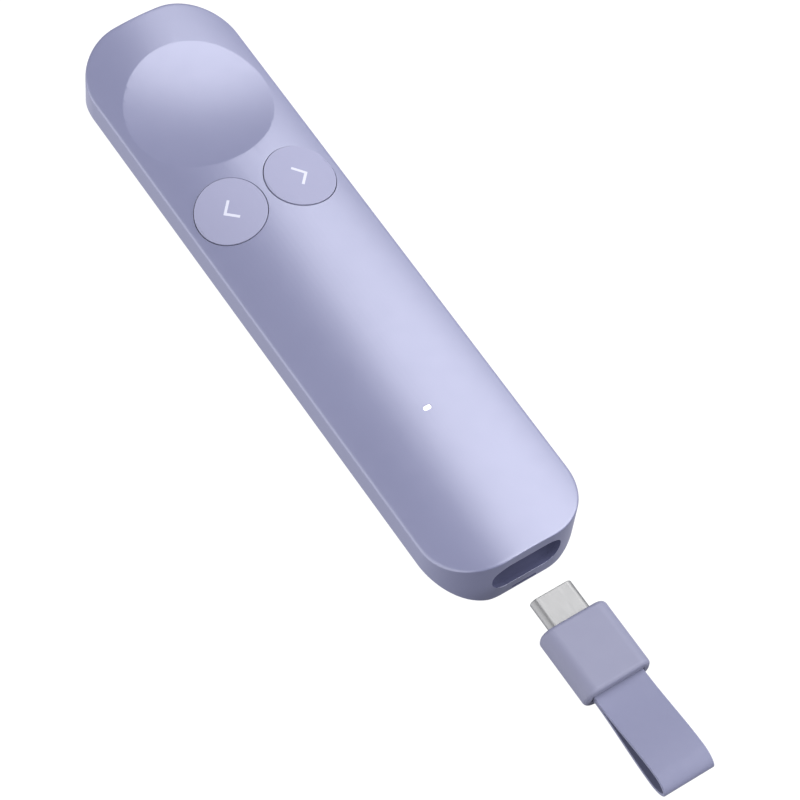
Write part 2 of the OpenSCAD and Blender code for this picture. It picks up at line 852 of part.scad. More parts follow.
module plug_shell() {
    y0 = housing_front - plug_in;
    color(metal) difference() {
        along(y0, housing_front + plug_l) translate([0, bay_z]) rounded(plug_w, plug_h, plug_h/2 - eps);
        along(y0 - over, housing_front + plug_l + over) translate([0, bay_z])
            rounded(plug_w - 2*plug_t, plug_h - 2*plug_t, plug_h/2 - plug_t - eps);
    }
}

module plug_insert() {
    y0 = housing_front - plug_in;
    y1 = housing_front + plug_l - insert_back;
    color(black) difference() {
        along(y0, y1) translate([0, bay_z])
            rounded(plug_w - 2*plug_t, plug_h - 2*plug_t, plug_h/2 - plug_t - eps);
        along(y1 - slot_l, y1 + over) translate([-tongue_w/2 - slot_gap, bay_z - tongue_t/2 - insert_gap])
            square([tongue_w + 2*slot_gap, tongue_t + 2*insert_gap]);
    }
}

module plug_contacts() {
    y1 = housing_front + plug_l - insert_back;
    color(brass) for (s = [-1, 1])
        contact_row(y1 - spring_back - spring_l, y1 - spring_back,
                    bay_z + s*(tongue_t/2 + insert_gap - spring_t/2) - spring_t/2, spring_t);
}

module receiver_board() {
    y0 = housing_back + strap_room_l + stick_gap;
    color(board_green) translate([-stick[0]/2, y0, bay_z - stick[1]/2])
        cube([stick[0], housing_front - plug_in - seat - y0, stick[1]]);
}

module receiver_chip() {
    y0 = housing_back + strap_room_l + stick_gap + chip_in;
    color(black) translate([-stick_chip[0]/2, y0, bay_z + stick[1]/2]) cube(stick_chip);
}

module strap_pin() {
    color(metal) translate([-strap_w/2 - pin_over, housing_back + pin_in, bay_z]) rotate([0, 90, 0])
        cylinder(r = pin_r, h = strap_w + 2*pin_over);
}

// Point and heading of a cubic curve, and a point beside it
function cubic(p, t) =
    pow(1 - t, 3)*p[0] + 3*t*pow(1 - t, 2)*p[1] + 3*t*t*(1 - t)*p[2] + pow(t, 3)*p[3];
function heading(p, t) =
    3*pow(1 - t, 2)*(p[1] - p[0]) + 6*t*(1 - t)*(p[2] - p[1]) + 3*t*t*(p[3] - p[2]);
function beside(p, t, d) =
    let (h = heading(p, t)/norm(heading(p, t))) cubic(p, t) + d*[-h[1], h[0]];

// Quarter of an oval between two points, leaving the first along Y or along Z
quarter = 0.552;
function oval(a, b, along_y) = let (k = quarter*(b - a))
    along_y ? [a, a + [k[0], 0], b - [0, k[1]], b] : [a, a + [0, k[1]], b - [k[0], 0], b];

// The strap's middle line: out over the top, round the end, back and round the pin
mouth = housing_back;
strap_route = [
    [[pin_y, pin_turn], [pin_y - pin_in/2, pin_turn],
     [mouth + pin_in/3, strap_lay], [mouth, strap_lay]],
    [[mouth, strap_lay], [mouth - loop_run/3, strap_lay],
     [loop_wide + loop_run/3, loop_up], [loop_wide, loop_up]],
    oval([loop_wide, loop_up], [loop_end, 0], true),
    oval([loop_end, 0], [loop_wide, -loop_down], false),
    [[loop_wide, -loop_down], [loop_wide + loop_run/3, -loop_down],
     [mouth - loop_run/3, -strap_lay], [mouth, -strap_lay]],
    [[mouth, -strap_lay], [mouth + pin_in/3, -strap_lay],
     [pin_y - pin_in/2, -pin_turn], [pin_y, -pin_turn]]
];
strap_steps = 8;
turn_steps = 12;
function strap_side(d) = concat(
    [for (c = strap_route, i = [0:strap_steps - 1]) beside(c, i/strap_steps, d)],
    [for (i = [0:turn_steps - 1]) let (a = -90 + 180*i/turn_steps)
        [pin_y, 0] + (pin_turn - d)*[cos(a), sin(a)]]
);

// Soft band laid round the pin and out into an open loop
module strap_loop() {
    color(lavender_dark) translate([-strap_w/2, 0, bay_z]) rotate([90, 0, 90])
        linear_extrude(strap_w) difference() {
            polygon(strap_side(-strap_t/2));
            polygon(strap_side(strap_t/2));
        }
}

top_shell();
bottom_cover();
bay_sleeve();
light_guide();
status_led();
main_board();
board_screws();
battery_cell();
battery_tape();
battery_foam();
battery_lead();
battery_connector();
back_switch();
next_switch();
touch_sensor();
sensor_lead();
sensor_connector();
haptic_motor();
radio_shield();
radio_chip();
antenna();
socket_shell();
socket_tongue();
socket_contacts();
back_button();
back_arrow();
back_plunger();
next_button();
next_arrow();
next_plunger();
receiver_housing();
plug_shell();
plug_insert();
plug_contacts();
receiver_board();
receiver_chip();
strap_pin();
strap_loop();
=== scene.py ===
"""Dressed scene of a presentation clicker with its plug-in receiver, strap and studio."""

import json
import math

import bmesh
import bpy
from bpy.props import FloatProperty, FloatVectorProperty, PointerProperty
from mathutils import Matrix, Vector


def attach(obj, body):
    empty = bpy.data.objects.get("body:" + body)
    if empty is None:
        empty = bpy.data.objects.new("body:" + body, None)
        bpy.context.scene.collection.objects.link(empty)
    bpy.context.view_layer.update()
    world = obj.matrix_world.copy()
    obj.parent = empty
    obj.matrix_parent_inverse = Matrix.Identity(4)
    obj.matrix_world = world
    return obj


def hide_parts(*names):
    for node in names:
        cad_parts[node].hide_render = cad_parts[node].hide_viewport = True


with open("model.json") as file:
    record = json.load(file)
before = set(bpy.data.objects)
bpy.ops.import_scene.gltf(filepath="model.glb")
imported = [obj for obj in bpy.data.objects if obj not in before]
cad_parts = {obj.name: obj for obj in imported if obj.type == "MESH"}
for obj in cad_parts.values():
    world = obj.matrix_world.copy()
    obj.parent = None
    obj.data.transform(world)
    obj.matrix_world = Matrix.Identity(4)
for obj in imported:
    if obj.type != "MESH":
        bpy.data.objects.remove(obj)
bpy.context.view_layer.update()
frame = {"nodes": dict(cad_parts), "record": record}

bl_info = {
    "name": "Presentation clicker",
    "version": (1, 0, 0),
    "blender": (4, 5, 0),
    "location": "View3D > Sidebar > Clicker",
    "description": "Models and dresses a presentation clicker with its plug-in receiver",
    "category": "Object",
}

MM = 0.001
HAND, RECEIVER = "hand_piece", "receiver"

# Places and sizes of the inner forms. Most have to fit pieces of the CAD that stay, so the panel
# leaves them out.
SCREWS = [(9.4*MM, -35.9*MM), (9.4*MM, 30.9*MM)]
POST, POST_LONG, POST_Z = 2*MM, 14*MM, 13.02*MM
SCREW_HOLE, SCREW_HOLE_LONG, SCREW_HOLE_Z = 0.77*MM, 4.2*MM, 7.12*MM
HOOK_PLACES = [(side, step*32*MM) for side in (-1, 1) for step in (-1, 0, 1)]
HOOK_Z = 6*MM
HOOK, HOOK_X = (0.6*MM, 6*MM, 0.7*MM), 14.12*MM
HOOK_ROOM, HOOK_ROOM_X = (0.66*MM, 6.12*MM, 0.82*MM), 14.15*MM
DISH_BACKING, DISH_BACKING_TALL, DISH_BACKING_Z = 14.7*MM, 14*MM, 17.5*MM
SKIN, DISH_SKIN = 0.4*MM, 0.15*MM
WELL_COLLAR, WELL_COLLAR_DEEP = 0.7*MM, 0.6*MM
COVER_INSET, COVER_RIM = 0.98*MM, 0.8*MM
RIB, RIB_Y, RIB_Z = (0.8*MM, 93.2*MM, 1.4*MM), 3.2*MM, 1.8*MM
RIB_X = 4*MM
COVER_POST, COVER_POST_LONG, COVER_POST_Z = 1.5*MM, 3.87*MM, 3.035*MM
COVER_POST_YS = (-27*MM, 7*MM)
BAY_CUT, BAY_CUT_IN, BAY_CUT_Z = (15.8*MM, 5*MM, 20*MM), 1.5*MM, 13.2*MM
BAY_END, BAY_END_WALL = -48.4*MM, 0.7*MM
SLEEVE_WIDE, SLEEVE_TALL, SLEEVE_ROUND = 15.2*MM, 7.5*MM, 3.45*MM
SLEEVE_CLEAR, SLEEVE_LIP = 0.02*MM, 0.5*MM
ROOM_TALL, ROOM_ROUND = 6.1*MM, 2.75*MM
RAMP_LONG, RAMP_OVERLAP = 7*MM, 0.05*MM
SOCKET_HOLE, SOCKET_HOLE_ROUND = (9.11*MM, 3*MM, 3.26*MM), 1.62*MM
LIGHT_Y, LIGHT_WIDE, LIGHT_LONG, LIGHT_ROUND = -31.5*MM, 1.5*MM, 0.9*MM, 0.44*MM
LIGHT_LOW, LIGHT_FOOT, LIGHT_STEM = 11.55*MM, 6.77*MM, 1.1*MM
LIGHT_FLANGE, LIGHT_FLANGE_THICK, LIGHT_CLEAR = 2*MM, 0.6*MM, 0.05*MM
SLIT, SLIT_Z, SLIT_ROUND = (1.6*MM, MM, 20*MM), 14*MM, 0.49*MM
CAP_LOW, CAP_ROOF, CAP_SKIRT = -2.95*MM, -0.9*MM, MM
TABS = (4*MM, 15.2*MM, 0.7*MM)
STEM, STEM_LOW, STEM_TOP = 1.5*MM, -4.51*MM, -0.7*MM
ARROW_DEEP, ARROW_SHIFT, ARROW_LIFT = 0.3*MM, 0.2*MM, 0.01*MM
CASE_ROOM_WIDE, CASE_ROOM_TALL, CASE_FRONT_WALL, CASE_REAR_WALL = 10*MM, 3.2*MM, 1.2*MM, 5.2*MM
STRAP_MOUTH = (10.4*MM, 2.1*MM, 1.9*MM)
STRAP_ROOM, STRAP_ROOM_IN = (10.4*MM, 4.3*MM, 3.2*MM), 3.15*MM
PIN_HOLE, PIN_HOLE_LONG, PIN_ROOM = 0.62*MM, 11.4*MM, 0.65*MM
LAYER_GAP = 0.1*MM
PLUG_HOLE, PLUG_HOLE_ROUND, PLUG_ROOT = (8.35*MM, 3*MM, 2.5*MM), 1.24*MM, 2.2*MM

# Camera of the photograph, found from the outlines that it shows
CAMERA_AT = (-190.408*MM, -246.535*MM, 516.656*MM)
CAMERA_TURN, CAMERA_TIP, CAMERA_ROLL = -40.584, 60.211, 8.024
CAMERA_LENS, CAMERA_SENSOR = 154.652, 36

# Cutting tools and bars reach this far past the body
REACH, BAR_REACH = 4*MM, 20*MM
# A point nearer than this lies on a surface, or on the wall of the body's plan
NEAR, PLAN_NEAR = 0.02*MM, 0.05*MM
# The top's edges and faces are looked for above this height only
UPPER = 10*MM
# Points nearer than this are merged after a cut, and an even strip keeps the crown's shading flat
CROWN_WELD, DISH_WELD, CROWN_STRIP = 0.08*MM, 0.06*MM, 0.7*MM
# Sides of the round bars and of the dish's ring
CROWN_SIDES, KEEL_SIDES = 236, 256
DISH_STEPS, DISH_SIDES = 1440, 368
# Handle of a curve that follows a quarter circle, as a share of the radius
QUARTER_CIRCLE = 0.552
# Quarter turns that lay a rod along Y or X
ABOUT_X, ABOUT_Y = (math.radians(90), 0, 0), (0, math.radians(90), 0)


# Sizes and colours that the panel shows

def length(name, text, mm):
    return FloatProperty(
        name=name, description=text, default=mm*MM, unit="LENGTH", subtype="DISTANCE")


def angle(name, text, degrees):
    return FloatProperty(
        name=name, description=text, default=math.radians(degrees), subtype="ANGLE")


def level(name, text, value):
    return FloatProperty(name=name, description=text, default=value, min=0)


def colour(name, text, rgb):
    return FloatVectorProperty(
        name=name, description=text, default=rgb, size=3, min=0, max=1, subtype="COLOR")


class ClickerBodySizes(bpy.types.PropertyGroup):
    """Sizes of the hand piece"""
    long: length("Length", "From the tail to the nose", 125)
    wide: length("Width", "Across the hand piece", 30)
    tall: length("Height", "From the resting strip to the crown", 13.8)
    crown: length("Crown radius", "Radius of the top across the body", 38.5)
    corner: length("Corner radius", "Radius of the corners from above", 10.5)
    strip: length("Resting strip", "Half width of the flat strip underneath", 0.5)
    rise: length("Wall rise", "Height of the walls' lower edge", 5.4)
    ends: length("End radius", "Radius of the lower edge at nose and tail", 1.2)
    wall: length("Wall", "Thickness of top and walls", 1.5)
    lap: length("Lap wall", "Thickness of the walls where the cover's rim laps them", 0.9)
    cover: length("Cover", "Thickness of the bottom cover", 1.3)
    ledge: length("Ledge height", "Where the cover's rim meets the shell", 6.9)
    edge: length("Edge rounding", "Rounding between crown and walls", 0.34)
    mouth_edge: length("Mouth rounding", "Rounding of the mouth's rim", 0.08)
    mouth_wide: length("Mouth width", "Width of the bay's mouth", 13.8)
    mouth_tall: length("Mouth height", "Height of the bay's mouth", 7.2)
    mouth_z: length("Mouth place", "Middle of the bay's mouth above the table", 7.45)
    mouth_round: length("Mouth corners", "Radius of the mouth's corners", 3.3)
    notch_wide: length("Notch width", "Width of the slot under the mouth", 4.8)
    notch_tall: length("Notch height", "Height of the slot", 0.55)
    notch_deep: length("Notch depth", "Depth of the slot", 0.5)
    notch_z: length("Notch place", "Middle of the slot above the table", 1.68)


class ClickerDishSizes(bpy.types.PropertyGroup):
    """Sizes of the thumb dish and the page buttons"""
    dish: length("Dish radius", "Radius of the dish's rim", 13.5)
    deep: length("Dish depth", "Depth in its middle", 1.2)
    dish_y: length("Dish place", "Middle of the dish along the body", 41.1)
    rim: length("Dish rim", "Rounding of the dish's rim", 0.35)
    well_edge: length("Well rounding", "Rounding of the wells' rims", 0.06)
    cap_edge: length("Button rounding", "Rounding of the buttons and the light", 0.08)
    cap: length("Button radius", "Radius of a page button", 6.5)
    cap_x: length("Button place across", "From the middle plane to a button", 7.2)
    cap_y: length("Button place along", "Middle of the buttons along the body", 19.1)
    proud: length("Button height", "How far a button stands above the crown", 0.18)
    gap: length("Button gap", "Gap round a button", 0.12)
    arm: length("Arrow arm", "Length of one arm of an arrow", 2.7)
    stroke: length("Arrow stroke", "Width of an arrow's stroke", 0.5)
    slant: angle("Arrow angle", "Angle between an arm and the arrow's axis", 46)


class ClickerReceiverSizes(bpy.types.PropertyGroup):
    """Sizes of the receiver and its strap"""
    axis_z: length("Axis height", "Height of the receiver's axis", 7.9)
    back: length("Rear", "Rear of the housing along the body", -88.7)
    wide: length("Width", "Width of the housing", 13.3)
    tall: length("Thickness", "Thickness of the housing", 5.6)
    long: length("Length", "Length of the housing", 13.6)
    side_edge: length("Long edges", "Radius of the housing's long edges", 2.5)
    end_edge: length("End edges", "Radius of the front and rear edges", 0.8)
    plug_wide: length("Plug width", "Width of the metal plug", 8.25)
    plug_tall: length("Plug height", "Height of the metal plug", 2.4)
    plug_long: length("Plug length", "Length outside the housing", 6.1)
    plug_wall: length("Plug wall", "Thickness of the metal", 0.3)
    plug_edge: length("Plug rounding", "Rounding of the plug's outer rim", 0.16)
    plug_inner: length("Plug inner rounding", "Rounding of the plug's inner rim", 0.06)
    strap_wide: length("Strap width", "Width of the strap", 10)
    strap_thick: length("Strap thickness", "Thickness of the strap", 0.6)
    strap_edge: length("Strap rounding", "Rounding of the strap's edges", 0.14)
    strap_hole: length("Strap hole rounding", "Rounding of the hole that the strap enters", 0.12)
    strap_in: length("Pin depth", "How far inside the housing the strap's pin lies", 3.2)
    loop_long: length("Loop length", "Length of the loop outside the housing", 20)
    loop_up: length("Loop height", "Middle of the upper layer above the axis", 1.85)
    loop_down: length("Loop depth", "Middle of the lower layer below the axis", 1.95)
    loop_bend: length("Loop bend", "Length of the bend at the loop's end", 3.3)


class ClickerColours(bpy.types.PropertyGroup):
    """Colours of the visible pieces"""
    shell: colour("Shell", "Satin lavender of the hand piece", (0.147, 0.153, 0.242))
    shine: colour("Shine", "Tint of the hand piece's satin shine", (0.853, 0.865, 1.0))
    cap: colour("Buttons", "Matt lavender of the page buttons", (0.218, 0.222, 0.322))
    case: colour("Receiver", "Matt lavender of the receiver's housing", (0.161, 0.165, 0.238))
    strap: colour("Strap", "Soft lavender of the strap", (0.136, 0.142, 0.226))
    paint: colour("Arrows", "Near white of the arrows", (0.45, 0.455, 0.53))
    # Painted shade: this dark colour stands for the shade inside the bay, on the mouth's walls and in
    # the notch
    bay: colour("Bay", "Darker lavender inside the bay", (0.046, 0.049, 0.096))


class ClickerStudio(bpy.types.PropertyGroup):
    """Light of the studio"""
    table_glow: level("Table glow", "White light that the table itself gives", 1.0)
    room_above: level("Room above", "Light of the room above the horizon", 0.3)
    room_below: level("Room below", "Light from below on the nose's side", 0.9)
    room_tail: level("Room below the tail", "Light from below on the tail's side", 0.12)
    main_turn: angle("Main box turn", "Round from the tail to the right", 78)
    main_height: angle("Main box height", "Above the horizon", 53)
    main_size: angle("Main box size", "Seen radius of the main box", 38.5)
    main_glow: level("Main box glow", "Brightness of the main box", 4.0)
    side_turn: angle("Side box turn", "Round from the tail to the right", 266)
    side_height: angle("Side box height", "Above the horizon", 8)
    side_size: angle("Side box size", "Seen radius of the side box", 50)
    side_glow: level("Side box glow", "Brightness of the side box", 1.74)
    tail_turn: angle("Tail box turn", "Round from the tail to the right", 20)
    tail_height: angle("Tail box height", "Above the horizon", 22)
    tail_size: angle("Tail box size", "Seen radius of the tail box", 9.5)
    tail_glow: level("Tail box glow", "Brightness of the tail box", 12.0)


# Work with Blender's own tools, as by hand

def let_go():
    """Object mode with nothing selected"""
    if bpy.context.mode != "OBJECT":
        bpy.ops.object.mode_set(mode="OBJECT")
    bpy.ops.object.select_all(action="DESELECT")


def take(piece):
    """The piece alone is selected and active"""
    let_go()
    piece.select_set(True)
    bpy.context.view_layer.objects.active = piece


def settle(piece):
    """The piece's place, turn and scale go into its mesh"""
    take(piece)
    bpy.ops.object.transform_apply(location=True, rotation=True, scale=True)
    return piece


def block(size, centre, turn=(0, 0, 0)):
    let_go()
    bpy.ops.mesh.primitive_cube_add(size=1, location=centre, rotation=turn)
    piece = bpy.context.object
    piece.scale = size
    return settle(piece)


def rod(radius, long, centre, turn=(0, 0, 0), sides=96):
    let_go()
    bpy.ops.mesh.primitive_cylinder_add(
        vertices=sides, radius=radius, depth=long, location=centre, rotation=turn)
    return settle(bpy.context.object)


def choose(piece, kind, wanted):
    """Selects the edges or faces that a test wants, in edit mode"""
    take(piece)
    bpy.ops.object.mode_set(mode="EDIT")
    bpy.ops.mesh.select_mode(type=kind)
    bpy.ops.mesh.select_all(action="DESELECT")
    mesh = bmesh.from_edit_mesh(piece.data)
    mesh.normal_update()
    items = mesh.edges if kind == "EDGE" else mesh.faces
    found = [item for item in items if wanted(item)]
    for item in found:
        item.select = True
    mesh.select_flush_mode()
    bmesh.update_edit_mesh(piece.data)
    if not found:
        raise RuntimeError(f"nothing to select on {piece.name}")


def middle(edge):
    return (edge.verts[0].co + edge.verts[1].co)/2


def sharp(edge, degrees=60):
    """Whether an edge's two faces meet at more than an angle"""
    return math.degrees(edge.calc_face_angle(0.0)) > degrees


def along(axis):
    """Test for edges that run along one axis"""
    def test(edge):
        way = edge.verts[1].co - edge.verts[0].co
        return way.length > 0 and abs(way[axis])/way.length > 0.9999
    return test


def rim_at(*places):
    """Test for sharp edges in planes across the body"""
    return lambda e: sharp(e) and any(abs(middle(e).y - y) < NEAR for y in places)


def round_edges(piece, wanted, radius, steps):
    """Bevels the edges that a test wants"""
    choose(piece, "EDGE", wanted)
    bpy.ops.mesh.bevel(offset=radius, segments=steps, profile=0.5, clamp_overlap=False)
    bpy.ops.object.mode_set(mode="OBJECT")
    return piece


def inset_region(piece, wanted, width):
    """A strip of even width inside the faces that a test wants, so that their shading stays flat"""
    choose(piece, "FACE", wanted)
    bpy.ops.mesh.inset(thickness=width, depth=0, use_even_offset=True)
    bpy.ops.object.mode_set(mode="OBJECT")


def weld(piece, distance):
    """Merges points that are closer than a distance"""
    take(piece)
    bpy.ops.object.mode_set(mode="EDIT")
    bpy.ops.mesh.select_all(action="SELECT")
    bpy.ops.mesh.remove_doubles(threshold=distance)
    bpy.ops.object.mode_set(mode="OBJECT")


def carve(piece, tool, how="DIFFERENCE"):
    """One solid cut by, kept inside or joined with another, which is used up"""
    take(piece)
    change = piece.modifiers.new("carve", "BOOLEAN")
    change.operation = how
    change.solver = "EXACT"
    change.object = tool
    bpy.ops.object.modifier_apply(modifier=change.name)
    bpy.data.objects.remove(tool)
    if not piece.data.polygons:
        raise RuntimeError(f"{piece.name} was cut away")
    return piece


def copy_of(piece):
    twin = piece.copy()
    twin.data = piece.data.copy()
    bpy.context.scene.collection.objects.link(twin)
    return twin


def shade(piece, sharp):
    """Smooth shading that leans on the large faces, with real corners kept"""
    take(piece)
    bpy.ops.object.shade_smooth_by_angle(angle=math.radians(sharp))
    lean = piece.modifiers.new("lean", "WEIGHTED_NORMAL")
    lean.mode = "FACE_AREA"
    lean.keep_sharp = True
    bpy.ops.object.modifier_apply(modifier=lean.name)


def place(piece, name, body, slot, material, *nodes):
    """Names a finished piece, gives it its finish, ties it to its body and hides the CAD nodes it
    stands for
    """
    let_go()
    piece.name = piece.data.name = name
    piece.data.materials.clear()
    piece.data.materials.append(material)
    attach(piece, body)
    if nodes:
        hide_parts(*nodes)


def paint(piece, wanted, material):
    """A second finish on the faces that a test wants"""
    piece.data.materials.append(material)
    choose(piece, "FACE", wanted)
    piece.active_material_index = len(piece.data.materials) - 1
    bpy.ops.object.material_slot_assign()
    bpy.ops.object.mode_set(mode="OBJECT")


# Finishes

def map_range(nodes, start, end, low, high):
    span = nodes.new("ShaderNodeMapRange")
    span.inputs["From Min"].default_value = start
    span.inputs["From Max"].default_value = end
    span.inputs["To Min"].default_value = low
    span.inputs["To Max"].default_value = high
    return span


class Surface:
    """A new material whose colour, roughness and relief follow patterns in object coordinates"""

    def __init__(self, name):
        self.material = bpy.data.materials.new(name)
        self.material.use_nodes = True
        self.nodes, self.links = self.material.node_tree.nodes, self.material.node_tree.links
        self.shader = self.nodes["Principled BSDF"].inputs
        self.where = self.nodes.new("ShaderNodeTexCoord").outputs["Object"]

    def preset(self, values):
        """Values that are the same all over"""
        for name, value in values.items():
            self.shader[name].default_value = value

    def pattern(self, kind, size, output, **settings):
        """A pattern whose spots, cells or lines are about one size, in metres"""
        node = self.nodes.new(kind)
        node.inputs["Scale"].default_value = 1/size
        for name, value in settings.items():
            setattr(node, name, value)
        self.links.new(self.where, node.inputs["Vector"])
        return node.outputs[output]

    def speckle(self, size, detail=2.0, stretch=None):
        """Noise, drawn out along an axis where a stretch is given"""
        value = self.pattern("ShaderNodeTexNoise", size, "Fac")
        value.node.inputs["Detail"].default_value = detail
        if stretch:
            mapping = self.nodes.new("ShaderNodeMapping")
            mapping.inputs["Scale"].default_value = stretch
            self.links.new(self.where, mapping.inputs["Vector"])
            self.links.new(mapping.outputs["Vector"], value.node.inputs["Vector"])
        return value

    def tones(self, value, rgb, low, high, spread=(0.3, 0.7)):
        """Two tones of one colour, made darker or lighter by a factor each"""
        ramp = self.nodes.new("ShaderNodeValToRGB")
        for element, position, factor in zip(ramp.color_ramp.elements, spread, (low, high)):
            element.position = position
            element.color = (*(min(1.0, c*factor) for c in rgb), 1)
        self.links.new(value, ramp.inputs["Fac"])
        self.links.new(ramp.outputs["Color"], self.shader["Base Color"])

    def gloss(self, value, low, high):
        """Roughness between two levels"""
        span = map_range(self.nodes, 0.3, 0.7, low, high)
        self.links.new(value, span.inputs["Value"])
        self.links.new(span.outputs["Result"], self.shader["Roughness"])

    def relief(self, value, depth, strength):
        """Fine bumps"""
        bump = self.nodes.new("ShaderNodeBump")
        bump.inputs["Distance"].default_value = depth
        bump.inputs["Strength"].default_value = strength
        self.links.new(value, bump.inputs["Height"])
        self.links.new(bump.outputs["Normal"], self.shader["Normal"])


def moulded(name, rgb, rough, grain=0.25*MM, depth=0.004*MM, sheen=0.0, ior=1.5, shine=0.5,
            tint=(1, 1, 1), glow=0.0):
    """Moulded plastic: fine spark-eroded grain, faint flow tones and uneven gloss"""
    variation, uneven = 0.015, 0.06
    face = Surface(name)
    face.tones(face.speckle(18*MM, 1.0), rgb, 1 - variation, 1 + variation)
    face.gloss(face.speckle(2.5*MM, 3.0), rough*(1 - uneven), rough*(1 + uneven))
    face.relief(face.speckle(grain, 1.0), depth, 0.25)
    # A glow makes the plastic give light though it is no lamp: painted light, which only the bay's
    # painted shade uses
    face.preset({"Sheen Weight": sheen, "IOR": ior, "Specular IOR Level": shine,
                 "Specular Tint": (*tint, 1), "Emission Color": (*rgb, 1),
                 "Emission Strength": glow})
    return face.material


def blasted_steel(name, rgb, rough):
    """Bead-blasted plug metal with fine insertion scratches along its length"""
    face = Surface(name)
    scratch = face.speckle(0.12*MM, 3.0, (1.0, 0.04, 1.0))
    face.tones(scratch, rgb, 0.94, 1.04)
    face.gloss(scratch, rough*0.85, rough*1.15)
    face.relief(face.speckle(0.15*MM), 0.003*MM, 0.3)
    face.preset({"Metallic": 1.0})
    return face.material


def plated(name, rgb, rough):
    """Thin bright plating with cloudy tarnish"""
    face = Surface(name)
    cloud = face.speckle(0.8*MM, 4.0)
    face.tones(cloud, rgb, 0.85, 1)
    face.gloss(cloud, rough, rough*1.6)
    face.preset({"Metallic": 1.0})
    return face.material


def coated_board(name, rgb):
    """Solder mask over copper tracks, seen as a faint grid of lighter lines"""
    face = Surface(name)
    cells = face.pattern("ShaderNodeTexVoronoi", 1.4*MM, "Distance", distance="MANHATTAN")
    face.tones(cells, rgb, 1.5, 1, (0.45, 0.55))
    face.gloss(face.speckle(MM), 0.25, 0.4)
    face.relief(cells, 0.02*MM, 0.3)
    return face.material


def crumpled_foil(name, rgb):
    """Aluminium pouch with soft wrinkles"""
    face = Surface(name)
    wrinkle = face.speckle(3*MM, 5.0, (1.0, 0.5, 1.0))
    face.tones(wrinkle, rgb, 0.92, 1)
    face.gloss(wrinkle, 0.28, 0.42)
    face.relief(wrinkle, 0.15*MM, 0.5)
    face.preset({"Metallic": 0.9})
    return face.material


def foamed(name, rgb):
    """Open foam: dark pores between lighter walls"""
    face = Surface(name)
    pores = face.pattern("ShaderNodeTexVoronoi", 0.35*MM, "Distance")
    face.tones(pores, rgb, 0.5, 1.3, (0.1, 0.6))
    face.relief(pores, 0.1*MM, 0.8)
    face.preset({"Roughness": 0.95})
    return face.material


def amber_film(name, rgb):
    """Flat lead: amber film over darker conductors that run along it"""
    face = Surface(name)
    lines = face.pattern("ShaderNodeTexWave", 1.6*MM, "Fac", bands_direction="X")
    face.tones(lines, rgb, 0.55, 1, (0.35, 0.5))
    face.gloss(face.speckle(MM), 0.22, 0.34)
    return face.material


def clear_window(name, rgb):
    """Milky light window that glows softly"""
    face = Surface(name)
    cloud = face.speckle(0.5*MM)
    face.tones(cloud, rgb, 0.96, 1)
    face.gloss(cloud, 0.18, 0.26)
    face.preset({"Emission Color": (0.95, 0.96, 1.0, 1.0), "Emission Strength": 0.35})
    return face.material


FINISHES = {}


def finish(name):
    """The material of one finish, made once"""
    if name in FINISHES:
        return FINISHES[name]
    c = bpy.context.scene.clicker_colours
    makers = {
        "shell": lambda: moulded("satin_shell", c.shell, 0.31, ior=1.65, shine=1.0, tint=c.shine),
        "button": lambda: moulded("matt_button", c.cap, 0.62),
        "mark": lambda: moulded("arrow_paint", c.paint, 0.8, grain=0.1*MM),
        "receiver_shell": lambda: moulded("matt_case", c.case, 0.6),
        "strap": lambda: moulded("soft_strap", c.strap, 0.6, grain=0.18*MM, depth=0.01*MM, sheen=0.15),
        # The bay's finish is painted shade in a dark colour, with a faint painted glow of its own
        "bay_lining": lambda: moulded("bay_lining", c.bay, 0.7, shine=0.2, glow=0.3),
        "dark_plastic": lambda: moulded("dark_moulding", (0.02, 0.02, 0.025), 0.45),
        "white_plastic": lambda: moulded("white_moulding", (0.75, 0.75, 0.72), 0.4),
        "plug_steel": lambda: blasted_steel("plug_metal", (0.27, 0.27, 0.27), 0.5),
        "steel": lambda: blasted_steel("can_metal", (0.55, 0.55, 0.56), 0.25),
        "contacts": lambda: plated("contact_plating", (0.83, 0.6, 0.25), 0.2),
        "copper": lambda: plated("sensor_copper", (0.72, 0.38, 0.2), 0.3),
        "board": lambda: coated_board("board_coating", (0.02, 0.09, 0.05)),
        "foil": lambda: crumpled_foil("cell_foil", (0.62, 0.63, 0.66)),
        "foam": lambda: foamed("pad_foam", (0.02, 0.02, 0.022)),
        "flex": lambda: amber_film("lead_film", (0.55, 0.25, 0.04)),
        "light_window": lambda: clear_window("light_window", (0.92, 0.93, 0.98)),
    }
    FINISHES[name] = makers[name]()
    return FINISHES[name]


# Forms that shell, cover, buttons and lining share

def body_plan(b, inset, low, high):
    """Upright prism with the body's plan, drawn in by a distance"""
    piece = block((b.wide - 2*inset, b.long - 2*inset, high - low), (0, 0, (low + high)/2))
    return round_edges(piece, along(2), b.corner - inset, 24)


def crown_bar(b, radius):
    """Long bar about the crown's axis"""
    return rod(radius, b.long + BAR_REACH, (0, 0, b.tall - b.crown), ABOUT_X, CROWN_SIDES)


def keel_bar(b, inset):
    """Bar with the section of the underside: two cylinder halves moved apart by the resting strip"""
    run = b.wide/2 - b.strip
    radius = (run**2 + b.rise**2)/(2*b.rise)
    piece = rod(radius - inset, b.long + BAR_REACH, (0, 0, radius), ABOUT_X, KEEL_SIDES)
    for side in (-1, 1):
        take(piece)
        bpy.ops.object.mode_set(mode="EDIT")
        bpy.ops.mesh.select_mode(type="VERT")
        bpy.ops.mesh.select_all(action="DESELECT")
        mesh = bmesh.from_edit_mesh(piece.data)
        for v in mesh.verts:
            v.select = side*v.co.x > 0.001*MM
        bmesh.update_edit_mesh(piece.data)
        bpy.ops.transform.translate(value=(side*b.strip, 0, 0))
        bpy.ops.object.mode_set(mode="OBJECT")
    return piece


def soled_plan(b):
    """Upright prism with the body's plan and a rounded lower edge"""
    piece = body_plan(b, 0, -0.01*MM, b.tall + REACH)
    return round_edges(piece, lambda e: middle(e).z < 0, b.ends, 8)


